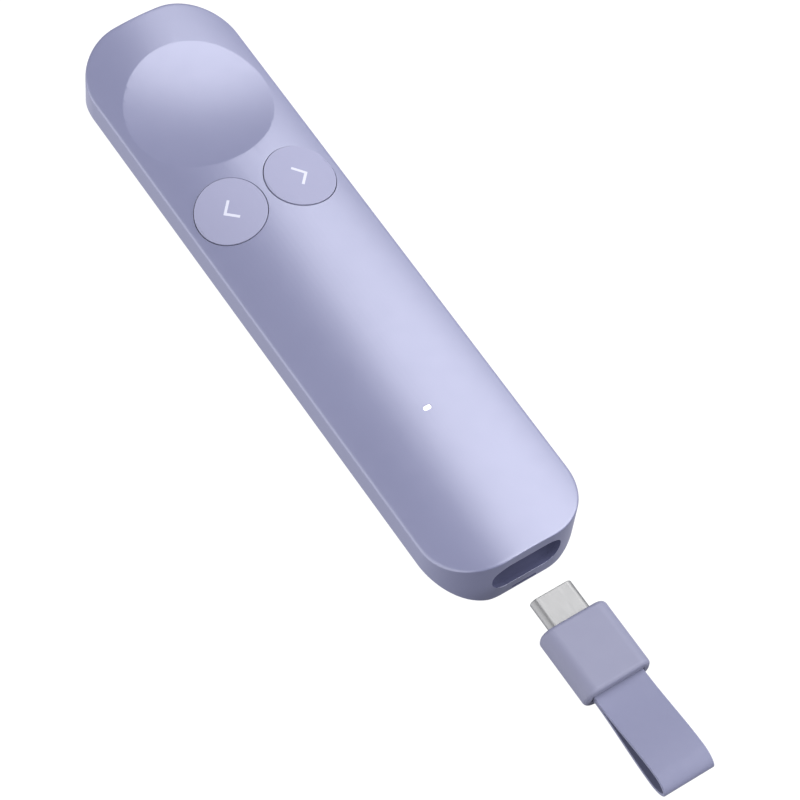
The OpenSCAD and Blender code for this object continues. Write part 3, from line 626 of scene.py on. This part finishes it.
def outer_form(b):
    """Outer form of the hand piece: its plan under the crown and over the keel"""
    piece = soled_plan(b)
    carve(piece, crown_bar(b, b.crown), "INTERSECT")
    carve(piece, keel_bar(b, 0), "INTERSECT")
    return piece


def crown_height(b, x):
    """Height of the crown at a distance from the middle plane"""
    return b.tall - b.crown + math.sqrt(b.crown**2 - x**2)


def button_frame(b, d, side):
    """Place on the crown at one button, with Z along its travel"""
    tilt = side*math.asin(d.cap_x/b.crown)
    turn = Matrix.Rotation(tilt, 4, "Y")
    return Matrix.Translation((side*d.cap_x, d.cap_y, crown_height(b, d.cap_x))) @ turn, (0, tilt, 0)


def at_button(b, d, side, radius, low, high, sides=96):
    """Rod on a button's axis between two heights from the crown"""
    place_on, turn = button_frame(b, d, side)
    return rod(radius, high - low, place_on @ Vector((0, 0, (low + high)/2)), turn, sides)


def on_plan_edge(b, point):
    """Whether a point lies on the wall of the body's plan"""
    x, y = abs(point.x) - (b.wide/2 - b.corner), abs(point.y) - (b.long/2 - b.corner)
    out = math.hypot(x, y) if x > 0 and y > 0 else max(x, y)
    return abs(out - b.corner) < PLAN_NEAR


def upper_edge(b):
    """Test for the edge between crown and walls"""
    return lambda e: sharp(e, 40) and middle(e).z > UPPER and on_plan_edge(b, middle(e))


def dish_ring(b, d, lower=0.0):
    """Ring whose outer side is the dish's surface, or that surface moved down"""
    sag = b.crown - math.sqrt(b.crown**2 - d.dish**2)
    over = sag - d.deep
    across = (d.dish**2 + over**2)/(2*over)
    lengthways = (d.dish**2 + d.deep**2)/(2*d.deep)
    let_go()
    bpy.ops.mesh.primitive_torus_add(
        major_radius=across + lengthways, major_segments=DISH_STEPS,
        minor_radius=lengthways, minor_segments=DISH_SIDES,
        location=(0, d.dish_y, b.tall - d.deep - across - lower), rotation=ABOUT_X)
    return settle(bpy.context.object)


def on_crown(b):
    """Test for faces that lie on the crown"""
    def test(face):
        c = face.calc_center_median()
        off = math.hypot(c.x, c.z - b.tall + b.crown) - b.crown
        return face.normal.z > 0.85 and abs(off) < NEAR
    return test


def in_dish(b, d):
    """Test for faces of the dish's surface"""
    crown = on_crown(b)
    def test(face):
        c = face.calc_center_median()
        near = math.hypot(c.x, c.y - d.dish_y) < d.dish
        return near and face.normal.z > 0.85 and c.z > UPPER and not crown(face)
    return test


class CLICKER_OT_top_shell(bpy.types.Operator):
    """Upper shell: crown, walls, thumb dish, button wells, light hole and the mouth of the bay"""
    bl_idname = "clicker.top_shell"
    bl_label = "Top shell"

    def execute(self, context):
        b, d = context.scene.clicker_body, context.scene.clicker_dish
        piece = outer_form(b)
        weld(piece, CROWN_WELD)
        inset_region(piece, lambda f: f.normal.z > 0.88, CROWN_STRIP)
        round_edges(piece, upper_edge(b), b.edge, 4)
        carve(piece, dish_ring(b, d))
        weld(piece, DISH_WELD)
        inset_region(piece, in_dish(b, d), d.rim)
        self.hollow(b, d, piece)
        self.openings(b, d, piece)
        round_edges(piece, lambda e: sharp(e, 55) and near_mouth(b, middle(e)), b.mouth_edge, 2)
        round_edges(piece, lambda e: sharp(e) and near_well(b, d, middle(e)), d.well_edge, 2)
        shade(piece, 30)
        place(piece, "shell_top", HAND, "shell", finish("shell"), "top_shell")
        # The mouth's walls and the notch get the bay's dark finish as painted shade
        paint(piece, lambda f: in_painted_shade(b, f.calc_center_median()), finish("bay_lining"))
        return {"FINISHED"}

    def hollow(self, b, d, piece):
        """The room inside, with the dish's backing, the wells' collars and the screw posts"""
        low = -3*MM
        room = body_plan(b, b.wall, low, b.tall + REACH)
        carve(piece, carve(room, crown_bar(b, b.crown - b.wall), "INTERSECT"))
        carve(piece, body_plan(b, b.lap, low, b.ledge))
        inside = body_plan(b, SKIN, MM, b.tall + REACH)
        carve(inside, crown_bar(b, b.crown - SKIN), "INTERSECT")
        carve(inside, dish_ring(b, d, DISH_SKIN))
        joins = [rod(DISH_BACKING, DISH_BACKING_TALL, (0, d.dish_y, DISH_BACKING_Z))]
        for side in (-1, 1):
            collar = d.cap + d.gap + WELL_COLLAR
            joins.append(at_button(b, d, side, collar, -b.wall - WELL_COLLAR_DEEP, 2*MM))
            for x, y in SCREWS:
                joins.append(rod(POST, POST_LONG, (side*x, y, POST_Z), sides=32))
        for join in joins:
            carve(piece, carve(join, copy_of(inside), "INTERSECT"), "UNION")
        bpy.data.objects.remove(inside)

    def openings(self, b, d, piece):
        """Wells, screw holes, light slit, mouth of the bay, notch and rooms for the hooks"""
        for side in (-1, 1):
            carve(piece, at_button(b, d, side, d.cap + d.gap, -10*MM, REACH))
            for x, y in SCREWS:
                hole = rod(SCREW_HOLE, SCREW_HOLE_LONG, (side*x, y, SCREW_HOLE_Z), sides=24)
                carve(piece, hole)
        slit = block(SLIT, (0, LIGHT_Y, SLIT_Z))
        carve(piece, round_edges(slit, along(2), SLIT_ROUND, 8))
        tail = -b.long/2
        carve(piece, mouth_tool(b, tail - 1.5*MM, tail + 2.5*MM))
        size = (b.notch_wide, 2*MM, b.notch_tall)
        carve(piece, block(size, (0, tail + b.notch_deep - MM, b.notch_z)))
        for side, y in HOOK_PLACES:
            carve(piece, block(HOOK_ROOM, (side*HOOK_ROOM_X, y, HOOK_Z)))


def mouth_tool(b, front, back):
    """Rounded block of the bay's mouth between two places along the body"""
    piece = block((b.mouth_wide, back - front, b.mouth_tall), (0, (front + back)/2, b.mouth_z))
    return round_edges(piece, along(1), b.mouth_round, 12)


def near_mouth(b, point):
    """Whether a point lies on the rim of the bay's mouth"""
    x = max(abs(point.x) - b.mouth_wide/2 + b.mouth_round, 0)
    z = max(abs(point.z - b.mouth_z) - b.mouth_tall/2 + b.mouth_round, 0)
    on_outline = abs(math.hypot(x, z) - b.mouth_round) < NEAR
    return on_outline and point.y < -b.long/2 + 1.2*MM and on_plan_edge(b, point)


def in_painted_shade(b, point):
    """Whether a point lies within the wall on the way into the bay, or inside the notch"""
    # The faces that it finds get the bay's dark finish, which is painted shade
    depth, slack = point.y + b.long/2, PLAN_NEAR
    def within(wide, tall, z):
        return abs(point.x) < wide/2 + slack and abs(point.z - z) < tall/2 + slack
    mouth = within(b.mouth_wide, b.mouth_tall, b.mouth_z) and 0.1*MM < depth < b.wall + slack
    notch = within(b.notch_wide, b.notch_tall, b.notch_z) and slack < depth < b.notch_deep + slack
    return notch or mouth and not on_plan_edge(b, point)


def near_well(b, d, point):
    """Whether a point lies on the rim of a button's well"""
    for side in (-1, 1):
        local = button_frame(b, d, side)[0].inverted() @ point
        if abs(math.hypot(local.x, local.y) - d.cap - d.gap) < NEAR and local.z > -MM:
            return True
    return False


class CLICKER_OT_bottom_cover(bpy.types.Operator):
    """Cover under the hand piece: curved skin, rim under the ledge, ribs, posts and snap hooks"""
    bl_idname = "clicker.bottom_cover"
    bl_label = "Bottom cover"

    def execute(self, context):
        b = context.scene.clicker_body
        piece = body_plan(b, COVER_INSET, -2*MM, b.ledge)
        carve(piece, keel_bar(b, 0), "INTERSECT")
        carve(piece, soled_plan(b), "INTERSECT")
        room = body_plan(b, COVER_INSET + COVER_RIM, -3*MM, b.ledge + 2*MM)
        carve(piece, carve(room, keel_bar(b, b.cover), "INTERSECT"))
        carve(piece, block(BAY_CUT, (0, -b.long/2 + BAY_CUT_IN, BAY_CUT_Z)))
        for side in (-1, 1):
            carve(piece, block(RIB, (side*RIB_X, RIB_Y, RIB_Z)), "UNION")
            for y in COVER_POST_YS:
                post = rod(COVER_POST, COVER_POST_LONG, (side*RIB_X, y, COVER_POST_Z), sides=32)
                carve(piece, post, "UNION")
        for side, y in HOOK_PLACES:
            carve(piece, block(HOOK, (side*HOOK_X, y, HOOK_Z)), "UNION")
        shade(piece, 30)
        place(piece, "shell_cover", HAND, "shell", finish("shell"), "bottom_cover")
        return {"FINISHED"}


def outline_plate(points, low, high):
    """Plate with a drawn outline, from a filled circle whose corners are moved to the points"""
    let_go()
    bpy.ops.mesh.primitive_circle_add(vertices=len(points), radius=MM, fill_type="NGON")
    piece = bpy.context.object
    for vertex, (x, y) in zip(piece.data.vertices, points):
        vertex.co = (x, y, low)
    bpy.ops.object.mode_set(mode="EDIT")
    bpy.ops.mesh.select_all(action="SELECT")
    bpy.ops.mesh.extrude_region_move(TRANSFORM_OT_translate={"value": (0, 0, high - low)})
    bpy.ops.mesh.select_all(action="SELECT")
    bpy.ops.mesh.normals_make_consistent(inside=False)
    bpy.ops.object.mode_set(mode="OBJECT")
    return piece


def arrow_plate(b, d, side):
    """Arrow that points away from the middle, with square ends and a pointed tip, through the cap"""
    sine, cosine = math.sin(d.slant), math.cos(d.slant)
    ax, ay, ex, ey = d.arm*cosine, d.arm*sine, d.stroke/2*sine, d.stroke/2*cosine
    tip, shift = d.stroke/2/sine, ax/2 + ARROW_SHIFT
    half = [(ex - ax, ay + ey), (-ax - ex, ay - ey)]
    points = [(tip, 0), *half, (-tip, 0), *[(x, -y) for x, y in reversed(half)]]
    piece = outline_plate([(side*(x + shift), y) for x, y in points], -MM, 2*MM)
    piece.matrix_world = button_frame(b, d, side)[0]
    settle(piece)
    carve(piece, crown_bar(b, b.crown + d.proud - ARROW_DEEP))
    return piece


class CLICKER_OT_page_buttons(bpy.types.Operator):
    """Page buttons: caps that follow the crown, with skirts, tabs and stems, and their inlaid arrows"""
    bl_idname = "clicker.page_buttons"
    bl_label = "Page buttons"

    def execute(self, context):
        b, d = context.scene.clicker_body, context.scene.clicker_dish
        for side, word in ((-1, "back"), (1, "next")):
            top, inner = crown_bar(b, b.crown + d.proud), d.cap - CAP_SKIRT
            cap = carve(at_button(b, d, side, d.cap, CAP_LOW, 2*MM), top, "INTERSECT")
            round_edges(cap, lambda e: sharp(e, 50) and middle(e).z > UPPER, d.cap_edge, 2)
            carve(cap, at_button(b, d, side, inner, CAP_LOW - MM, CAP_ROOF))
            spot, turn = button_frame(b, d, side)
            tabs = block(TABS, spot @ Vector((0, 0, CAP_LOW + TABS[2]/2)), turn)
            carve(tabs, at_button(b, d, side, inner, CAP_LOW - MM, CAP_LOW + 2*MM))
            carve(cap, tabs, "UNION")
            carve(cap, at_button(b, d, side, STEM, STEM_LOW, STEM_TOP, 48), "UNION")
            carve(cap, arrow_plate(b, d, side))
            shade(cap, 35)
            body = f"{word}_key"
            place(cap, f"cap_{word}", body, "button", finish("button"), f"{word}_button")
            top = crown_bar(b, b.crown + d.proud + ARROW_LIFT)
            mark = carve(arrow_plate(b, d, side), top, "INTERSECT")
            shade(mark, 35)
            place(mark, f"arrow_{word}", body, "mark", finish("mark"), f"{word}_arrow")
        return {"FINISHED"}


class CLICKER_OT_status_light(bpy.types.Operator):
    """Milky light guide: a slit window in the crown on a flange and a stem"""
    bl_idname = "clicker.status_light"
    bl_label = "Status light"

    def execute(self, context):
        b, d = context.scene.clicker_body, context.scene.clicker_dish
        top = crown_height(b, LIGHT_WIDE/2)
        size = (LIGHT_WIDE, LIGHT_LONG, top - LIGHT_LOW)
        piece = block(size, (0, LIGHT_Y, (top + LIGHT_LOW)/2))
        round_edges(piece, along(2), LIGHT_ROUND, 8)
        round_edges(piece, lambda e: middle(e).z > top - NEAR and sharp(e), d.cap_edge, 2)
        roof = b.tall - b.crown + math.sqrt((b.crown - b.wall)**2 - LIGHT_FLANGE**2)
        z = roof - LIGHT_CLEAR - LIGHT_FLANGE_THICK/2
        carve(piece, rod(LIGHT_FLANGE, LIGHT_FLANGE_THICK, (0, LIGHT_Y, z), sides=48), "UNION")
        z -= LIGHT_CLEAR
        stem = rod(LIGHT_STEM, z - LIGHT_FOOT, (0, LIGHT_Y, (z + LIGHT_FOOT)/2), sides=48)
        carve(piece, stem, "UNION")
        shade(piece, 35)
        place(piece, "window_guide", HAND, "light_window", finish("light_window"), "light_guide")
        return {"FINISHED"}


class CLICKER_OT_bay_lining(bpy.types.Operator):
    """Sleeve that lines the bay, with a lead-in ramp at the mouth and the socket's hole in its end"""
    bl_idname = "clicker.bay_lining"
    bl_label = "Bay lining"

    def execute(self, context):
        b, r = context.scene.clicker_body, context.scene.clicker_receiver
        tail, far = -b.long/2, BAY_END + BAY_END_WALL
        piece = block((SLEEVE_WIDE, far - tail, SLEEVE_TALL), (0, (far + tail)/2, r.axis_z))
        round_edges(piece, along(1), SLEEVE_ROUND, 12)
        size = (SLEEVE_WIDE, RAMP_LONG, b.mouth_tall + 2*SLEEVE_LIP)
        lip = block(size, (0, tail + RAMP_LONG/2, b.mouth_z))
        carve(piece, round_edges(lip, along(1), b.mouth_round + SLEEVE_LIP, 12), "UNION")
        within = body_plan(b, b.wall, -MM, b.tall + REACH)
        lapped = body_plan(b, b.lap + SLEEVE_CLEAR, -2*MM, b.ledge - SLEEVE_CLEAR)
        carve(piece, carve(within, lapped, "UNION"), "INTERSECT")
        size = (b.mouth_wide, BAY_END - tail + MM, ROOM_TALL)
        room = block(size, (0, (BAY_END + tail - MM)/2, r.axis_z))
        carve(piece, round_edges(room, along(1), ROOM_ROUND, 12))
        carve(piece, mouth_tool(b, tail - MM, tail + b.wall))
        ramp = mouth_tool(b, tail + b.wall - RAMP_OVERLAP, tail + RAMP_LONG)
        choose(ramp, "FACE", lambda f: f.normal.y > 0.99)
        bpy.ops.transform.resize(value=(1, 1, ROOM_TALL/b.mouth_tall))
        bpy.ops.transform.translate(value=(0, 0, r.axis_z - b.mouth_z))
        bpy.ops.object.mode_set(mode="OBJECT")
        carve(piece, ramp)
        hole = block(SOCKET_HOLE, (0, BAY_END + 0.5*MM, r.axis_z))
        carve(piece, round_edges(hole, along(1), SOCKET_HOLE_ROUND, 10))
        shade(piece, 30)
        # The sleeve takes the bay's finish: painted shade, dark and faintly glowing
        place(piece, "bay_lining", HAND, "bay_lining", finish("bay_lining"), "bay_sleeve")
        return {"FINISHED"}


class CLICKER_OT_receiver_case(bpy.types.Operator):
    """Receiver's housing with its plug opening, inner rooms, strap mouth and pin hole"""
    bl_idname = "clicker.receiver_case"
    bl_label = "Receiver case"

    def execute(self, context):
        r = context.scene.clicker_receiver
        front, z = r.back + r.long, r.axis_z
        piece = block((r.wide, r.long, r.tall), (0, r.back + r.long/2, z))
        round_edges(piece, along(1), r.side_edge, 12)
        round_edges(piece, rim_at(front, r.back), r.end_edge, 6)
        hole = block(PLUG_HOLE, (0, front - 0.5*MM, z))
        carve(piece, round_edges(hole, along(1), PLUG_HOLE_ROUND, 10))
        low, high = r.back + CASE_REAR_WALL, front - CASE_FRONT_WALL
        carve(piece, block((CASE_ROOM_WIDE, high - low, CASE_ROOM_TALL), (0, (low + high)/2, z)))
        carve(piece, block(STRAP_ROOM, (0, r.back + STRAP_ROOM_IN, z)))
        carve(piece, block(STRAP_MOUTH, (0, r.back, z)))
        round_edges(piece, rim_at(r.back), r.strap_hole, 2)
        carve(piece, rod(PIN_HOLE, PIN_HOLE_LONG, (0, r.back + r.strap_in, z), ABOUT_Y, 32))
        shade(piece, 30)
        material = finish("receiver_shell")
        place(piece, "receiver_case", RECEIVER, "receiver_shell", material, "receiver_housing")
        return {"FINISHED"}


class CLICKER_OT_plug(bpy.types.Operator):
    """Drawn metal plug shell: a flat round-sided tube with a turned-in mouth"""
    bl_idname = "clicker.plug"
    bl_label = "Plug"

    def execute(self, context):
        r = context.scene.clicker_receiver
        front = r.back + r.long
        low, high = front - PLUG_ROOT, front + r.plug_long
        piece = block((r.plug_wide, high - low, r.plug_tall), (0, (low + high)/2, r.axis_z))
        round_edges(piece, along(1), r.plug_tall/2 - 0.01*MM, 12)
        choose(piece, "FACE", lambda f: abs(f.normal.y) > 0.99)
        bpy.ops.mesh.inset(thickness=r.plug_wall, depth=0, use_individual=True)
        bpy.ops.mesh.delete(type="FACE")
        bpy.ops.mesh.select_mode(type="EDGE")
        bpy.ops.mesh.select_all(action="DESELECT")
        mesh = bmesh.from_edit_mesh(piece.data)
        for e in mesh.edges:
            e.select = e.is_boundary
        bmesh.update_edit_mesh(piece.data)
        bpy.ops.mesh.bridge_edge_loops()
        bpy.ops.mesh.select_all(action="SELECT")
        bpy.ops.mesh.normals_make_consistent(inside=False)
        bpy.ops.object.mode_set(mode="OBJECT")

        def is_outer(point):
            x = max(abs(point.x) - (r.plug_wide - r.plug_tall)/2, 0)
            return math.hypot(x, point.z - r.axis_z) > (r.plug_tall - r.plug_wall)/2

        tip = rim_at(high)
        round_edges(piece, lambda e: tip(e) and is_outer(middle(e)), r.plug_edge, 3)
        round_edges(piece, lambda e: tip(e) and not is_outer(middle(e)), r.plug_inner, 2)
        shade(piece, 30)
        place(piece, "plug_tube", RECEIVER, "plug_steel", finish("plug_steel"), "plug_shell")
        return {"FINISHED"}


class CLICKER_OT_strap(bpy.types.Operator):
    """Soft strap: a side line drawn as a curve, widened, thickened and softly edged"""
    bl_idname = "clicker.strap"
    bl_label = "Strap"

    def execute(self, context):
        r = context.scene.clicker_receiver
        mouth, thick, z = r.back, r.strap_thick, r.axis_z
        pin_in, up, down, bend = r.strap_in, r.loop_up, r.loop_down, r.loop_bend
        lay, turn = (thick + LAYER_GAP)/2, PIN_ROOM + thick/2
        pin, end = mouth + pin_in, mouth - r.loop_long + thick/2
        wide, q = end + bend, QUARTER_CIRCLE
        run = mouth - wide
        knots = [  # point, the handle before it and the handle after it
            ((pin, turn), (pin + q*turn, turn), (pin - pin_in/2, turn)),
            ((mouth, lay), (mouth + pin_in/3, lay), (mouth - run/3, lay)),
            ((wide, up), (wide + run/3, up), (wide - q*bend, up)),
            ((end, 0), (end, up - q*up), (end, -q*down)),
            ((wide, -down), (wide - q*bend, -down), (wide + run/3, -down)),
            ((mouth, -lay), (mouth - run/3, -lay), (mouth + pin_in/3, -lay)),
            ((pin, -turn), (pin - pin_in/2, -turn), (pin + q*turn, -turn)),
            ((pin + turn, 0), (pin + turn, -q*turn), (pin + turn, q*turn)),
        ]
        let_go()
        bpy.ops.curve.primitive_bezier_curve_add(location=(0, 0, 0))
        piece = bpy.context.object
        spline = piece.data.splines[0]
        spline.bezier_points.add(len(knots) - 2)
        spline.use_cyclic_u = True
        spline.resolution_u = 14
        x = -r.strap_wide/2
        for point, (at, before, after) in zip(spline.bezier_points, knots):
            point.handle_left_type = point.handle_right_type = "FREE"
            point.co = (x, at[0], z + at[1])
            point.handle_left = (x, before[0], z + before[1])
            point.handle_right = (x, after[0], z + after[1])
        bpy.ops.object.convert(target="MESH")
        piece = bpy.context.object
        bpy.ops.object.mode_set(mode="EDIT")
        bpy.ops.mesh.select_all(action="SELECT")
        bpy.ops.mesh.remove_doubles(threshold=0.001*MM)
        bpy.ops.mesh.extrude_edges_move(TRANSFORM_OT_translate={"value": (r.strap_wide, 0, 0)})
        bpy.ops.mesh.select_all(action="SELECT")
        bpy.ops.mesh.normals_make_consistent(inside=False)
        bpy.ops.object.mode_set(mode="OBJECT")
        wall = piece.modifiers.new("thickness", "SOLIDIFY")
        wall.thickness = thick
        wall.offset = 0
        wall.use_even_offset = True
        bpy.ops.object.modifier_apply(modifier=wall.name)
        round_edges(piece, sharp, r.strap_edge, 3)
        shade(piece, 40)
        place(piece, "strap_band", RECEIVER, "strap", finish("strap"), "strap_loop")
        return {"FINISHED"}


class CLICKER_OT_inner_parts(bpy.types.Operator):
    """Finishes of the CAD pieces that stay, such as board, battery, switches, leads and socket"""
    bl_idname = "clicker.inner_parts"
    bl_label = "Inner parts"

    def execute(self, context):
        for part in frame["record"]["subparts"]:
            node = frame["nodes"][part["node"]]
            for index in range(len(node.material_slots)):
                node.material_slots[index].material = finish(part["material_slot"])
        return {"FINISHED"}


class CLICKER_OT_stage(bpy.types.Operator):
    """White table, soft studio light and the camera"""
    bl_idname = "clicker.stage"
    bl_label = "Stage"

    def room(self, s):
        """Dim surroundings, brighter below the horizon and most so towards the nose"""
        sky = bpy.data.worlds.new("studio")
        sky.use_nodes = True
        nodes, links = sky.node_tree.nodes, sky.node_tree.links
        where = nodes.new("ShaderNodeTexCoord")
        split = nodes.new("ShaderNodeSeparateXYZ")
        blend = map_range(nodes, 0.1, -0.1, s.room_above, s.room_below)
        ground = map_range(nodes, -0.6, 0.6, s.room_tail, s.room_below)
        links.new(where.outputs["Generated"], split.inputs["Vector"])
        links.new(split.outputs["Y"], ground.inputs["Value"])
        links.new(ground.outputs["Result"], blend.inputs["To Max"])
        links.new(split.outputs["Z"], blend.inputs["Value"])
        links.new(blend.outputs["Result"], nodes["Background"].inputs["Strength"])
        nodes["Background"].inputs["Color"].default_value = (0.87, 0.88, 1, 1)
        return sky

    def soft_box(self, name, turn, height, size, glow):
        """Round soft box that looks at the object, as bright as its glow wherever it is seen"""
        away, level_part = 2.5, math.cos(height)
        way = Vector((level_part*math.sin(turn), -level_part*math.cos(turn), math.sin(height)))
        bpy.ops.object.light_add(type="AREA", location=away*way)
        lamp = bpy.context.object
        lamp.name = lamp.data.name = name
        lamp.data.shape = "DISK"
        lamp.data.size = 2*away*math.tan(size)
        lamp.data.energy = glow*math.pi*math.pi*(lamp.data.size/2)**2
        lamp.rotation_euler = way.to_track_quat("Z", "Y").to_euler()

    def table(self, s):
        """White table that glows by itself, so that it stays evenly white"""
        bpy.ops.mesh.primitive_plane_add(size=4, location=(0, 0, 0))
        floor = bpy.context.object
        floor.name = "white_table"
        paper = Surface("white_table")
        paper.tones(paper.speckle(0.4), (0.03, 0.03, 0.03), 1, 7/6)
        paper.preset({"Roughness": 0.9, "Emission Color": (1, 1, 1, 1),
                      "Emission Strength": s.table_glow})
        floor.data.materials.append(paper.material)
        floor.visible_diffuse = floor.visible_glossy = floor.visible_shadow = False

    def camera(self):
        """Camera that sees the object as in the photograph"""
        turn, tip, roll = (math.radians(a) for a in (CAMERA_TURN, CAMERA_TIP, CAMERA_ROLL))
        flat = math.cos(tip)
        back = Vector((math.sin(turn)*flat, -math.cos(turn)*flat, math.sin(tip)))
        right = Vector((math.cos(turn), math.sin(turn), 0))
        up = back.cross(right)
        across = math.cos(roll)*right + math.sin(roll)*up
        upward = -math.sin(roll)*right + math.cos(roll)*up
        bpy.ops.object.camera_add(location=(0, 0, 0))
        camera = bpy.context.object
        camera.name = "photo_camera"
        view = Matrix((across, upward, back)).transposed().to_4x4()
        view.translation = Vector(CAMERA_AT)
        camera.matrix_world = view
        camera.data.sensor_width = CAMERA_SENSOR
        camera.data.lens = CAMERA_LENS
        camera.data.clip_start = 0.01
        return camera

    def execute(self, context):
        scene, s = context.scene, context.scene.clicker_studio
        let_go()
        self.table(s)
        scene.world = self.room(s)
        self.soft_box("main_box", s.main_turn, s.main_height, s.main_size, s.main_glow)
        self.soft_box("side_box", s.side_turn, s.side_height, s.side_size, s.side_glow)
        self.soft_box("tail_box", s.tail_turn, s.tail_height, s.tail_size, s.tail_glow)
        scene.camera = self.camera()
        scene.view_settings.view_transform = "Standard"
        return {"FINISHED"}


GROUPS = {
    "clicker_body": ClickerBodySizes,
    "clicker_dish": ClickerDishSizes,
    "clicker_receiver": ClickerReceiverSizes,
    "clicker_colours": ClickerColours,
    "clicker_studio": ClickerStudio,
}

OPERATORS = [
    CLICKER_OT_stage, CLICKER_OT_top_shell, CLICKER_OT_bottom_cover, CLICKER_OT_page_buttons,
    CLICKER_OT_status_light, CLICKER_OT_bay_lining, CLICKER_OT_receiver_case, CLICKER_OT_plug,
    CLICKER_OT_strap, CLICKER_OT_inner_parts]


class CLICKER_PT_panel(bpy.types.Panel):
    """Buttons for the pieces and the stage, and the sizes and colours that they use"""
    bl_idname = "CLICKER_PT_panel"
    bl_label = "Presentation clicker"
    bl_space_type = "VIEW_3D"
    bl_region_type = "UI"
    bl_category = "Clicker"

    def draw(self, context):
        layout = self.layout
        for operator in OPERATORS:
            layout.operator(operator.bl_idname)
        for group in GROUPS:
            box = layout.box()
            values = getattr(context.scene, group)
            for name in values.__annotations__:
                box.prop(values, name)


def register():
    for item in [*GROUPS.values(), *OPERATORS, CLICKER_PT_panel]:
        bpy.utils.register_class(item)
    for name, group in GROUPS.items():
        setattr(bpy.types.Scene, name, PointerProperty(type=group))


def unregister():
    for name in GROUPS:
        delattr(bpy.types.Scene, name)
    for item in [CLICKER_PT_panel, *reversed(OPERATORS), *reversed(GROUPS.values())]:
        bpy.utils.unregister_class(item)


def main():
    register()
    bpy.ops.clicker.stage()
    bpy.ops.clicker.top_shell()
    bpy.ops.clicker.bottom_cover()
    bpy.ops.clicker.page_buttons()
    bpy.ops.clicker.status_light()
    bpy.ops.clicker.bay_lining()
    bpy.ops.clicker.receiver_case()
    bpy.ops.clicker.plug()
    bpy.ops.clicker.strap()
    bpy.ops.clicker.inner_parts()


if __name__ == "__main__":
    main()
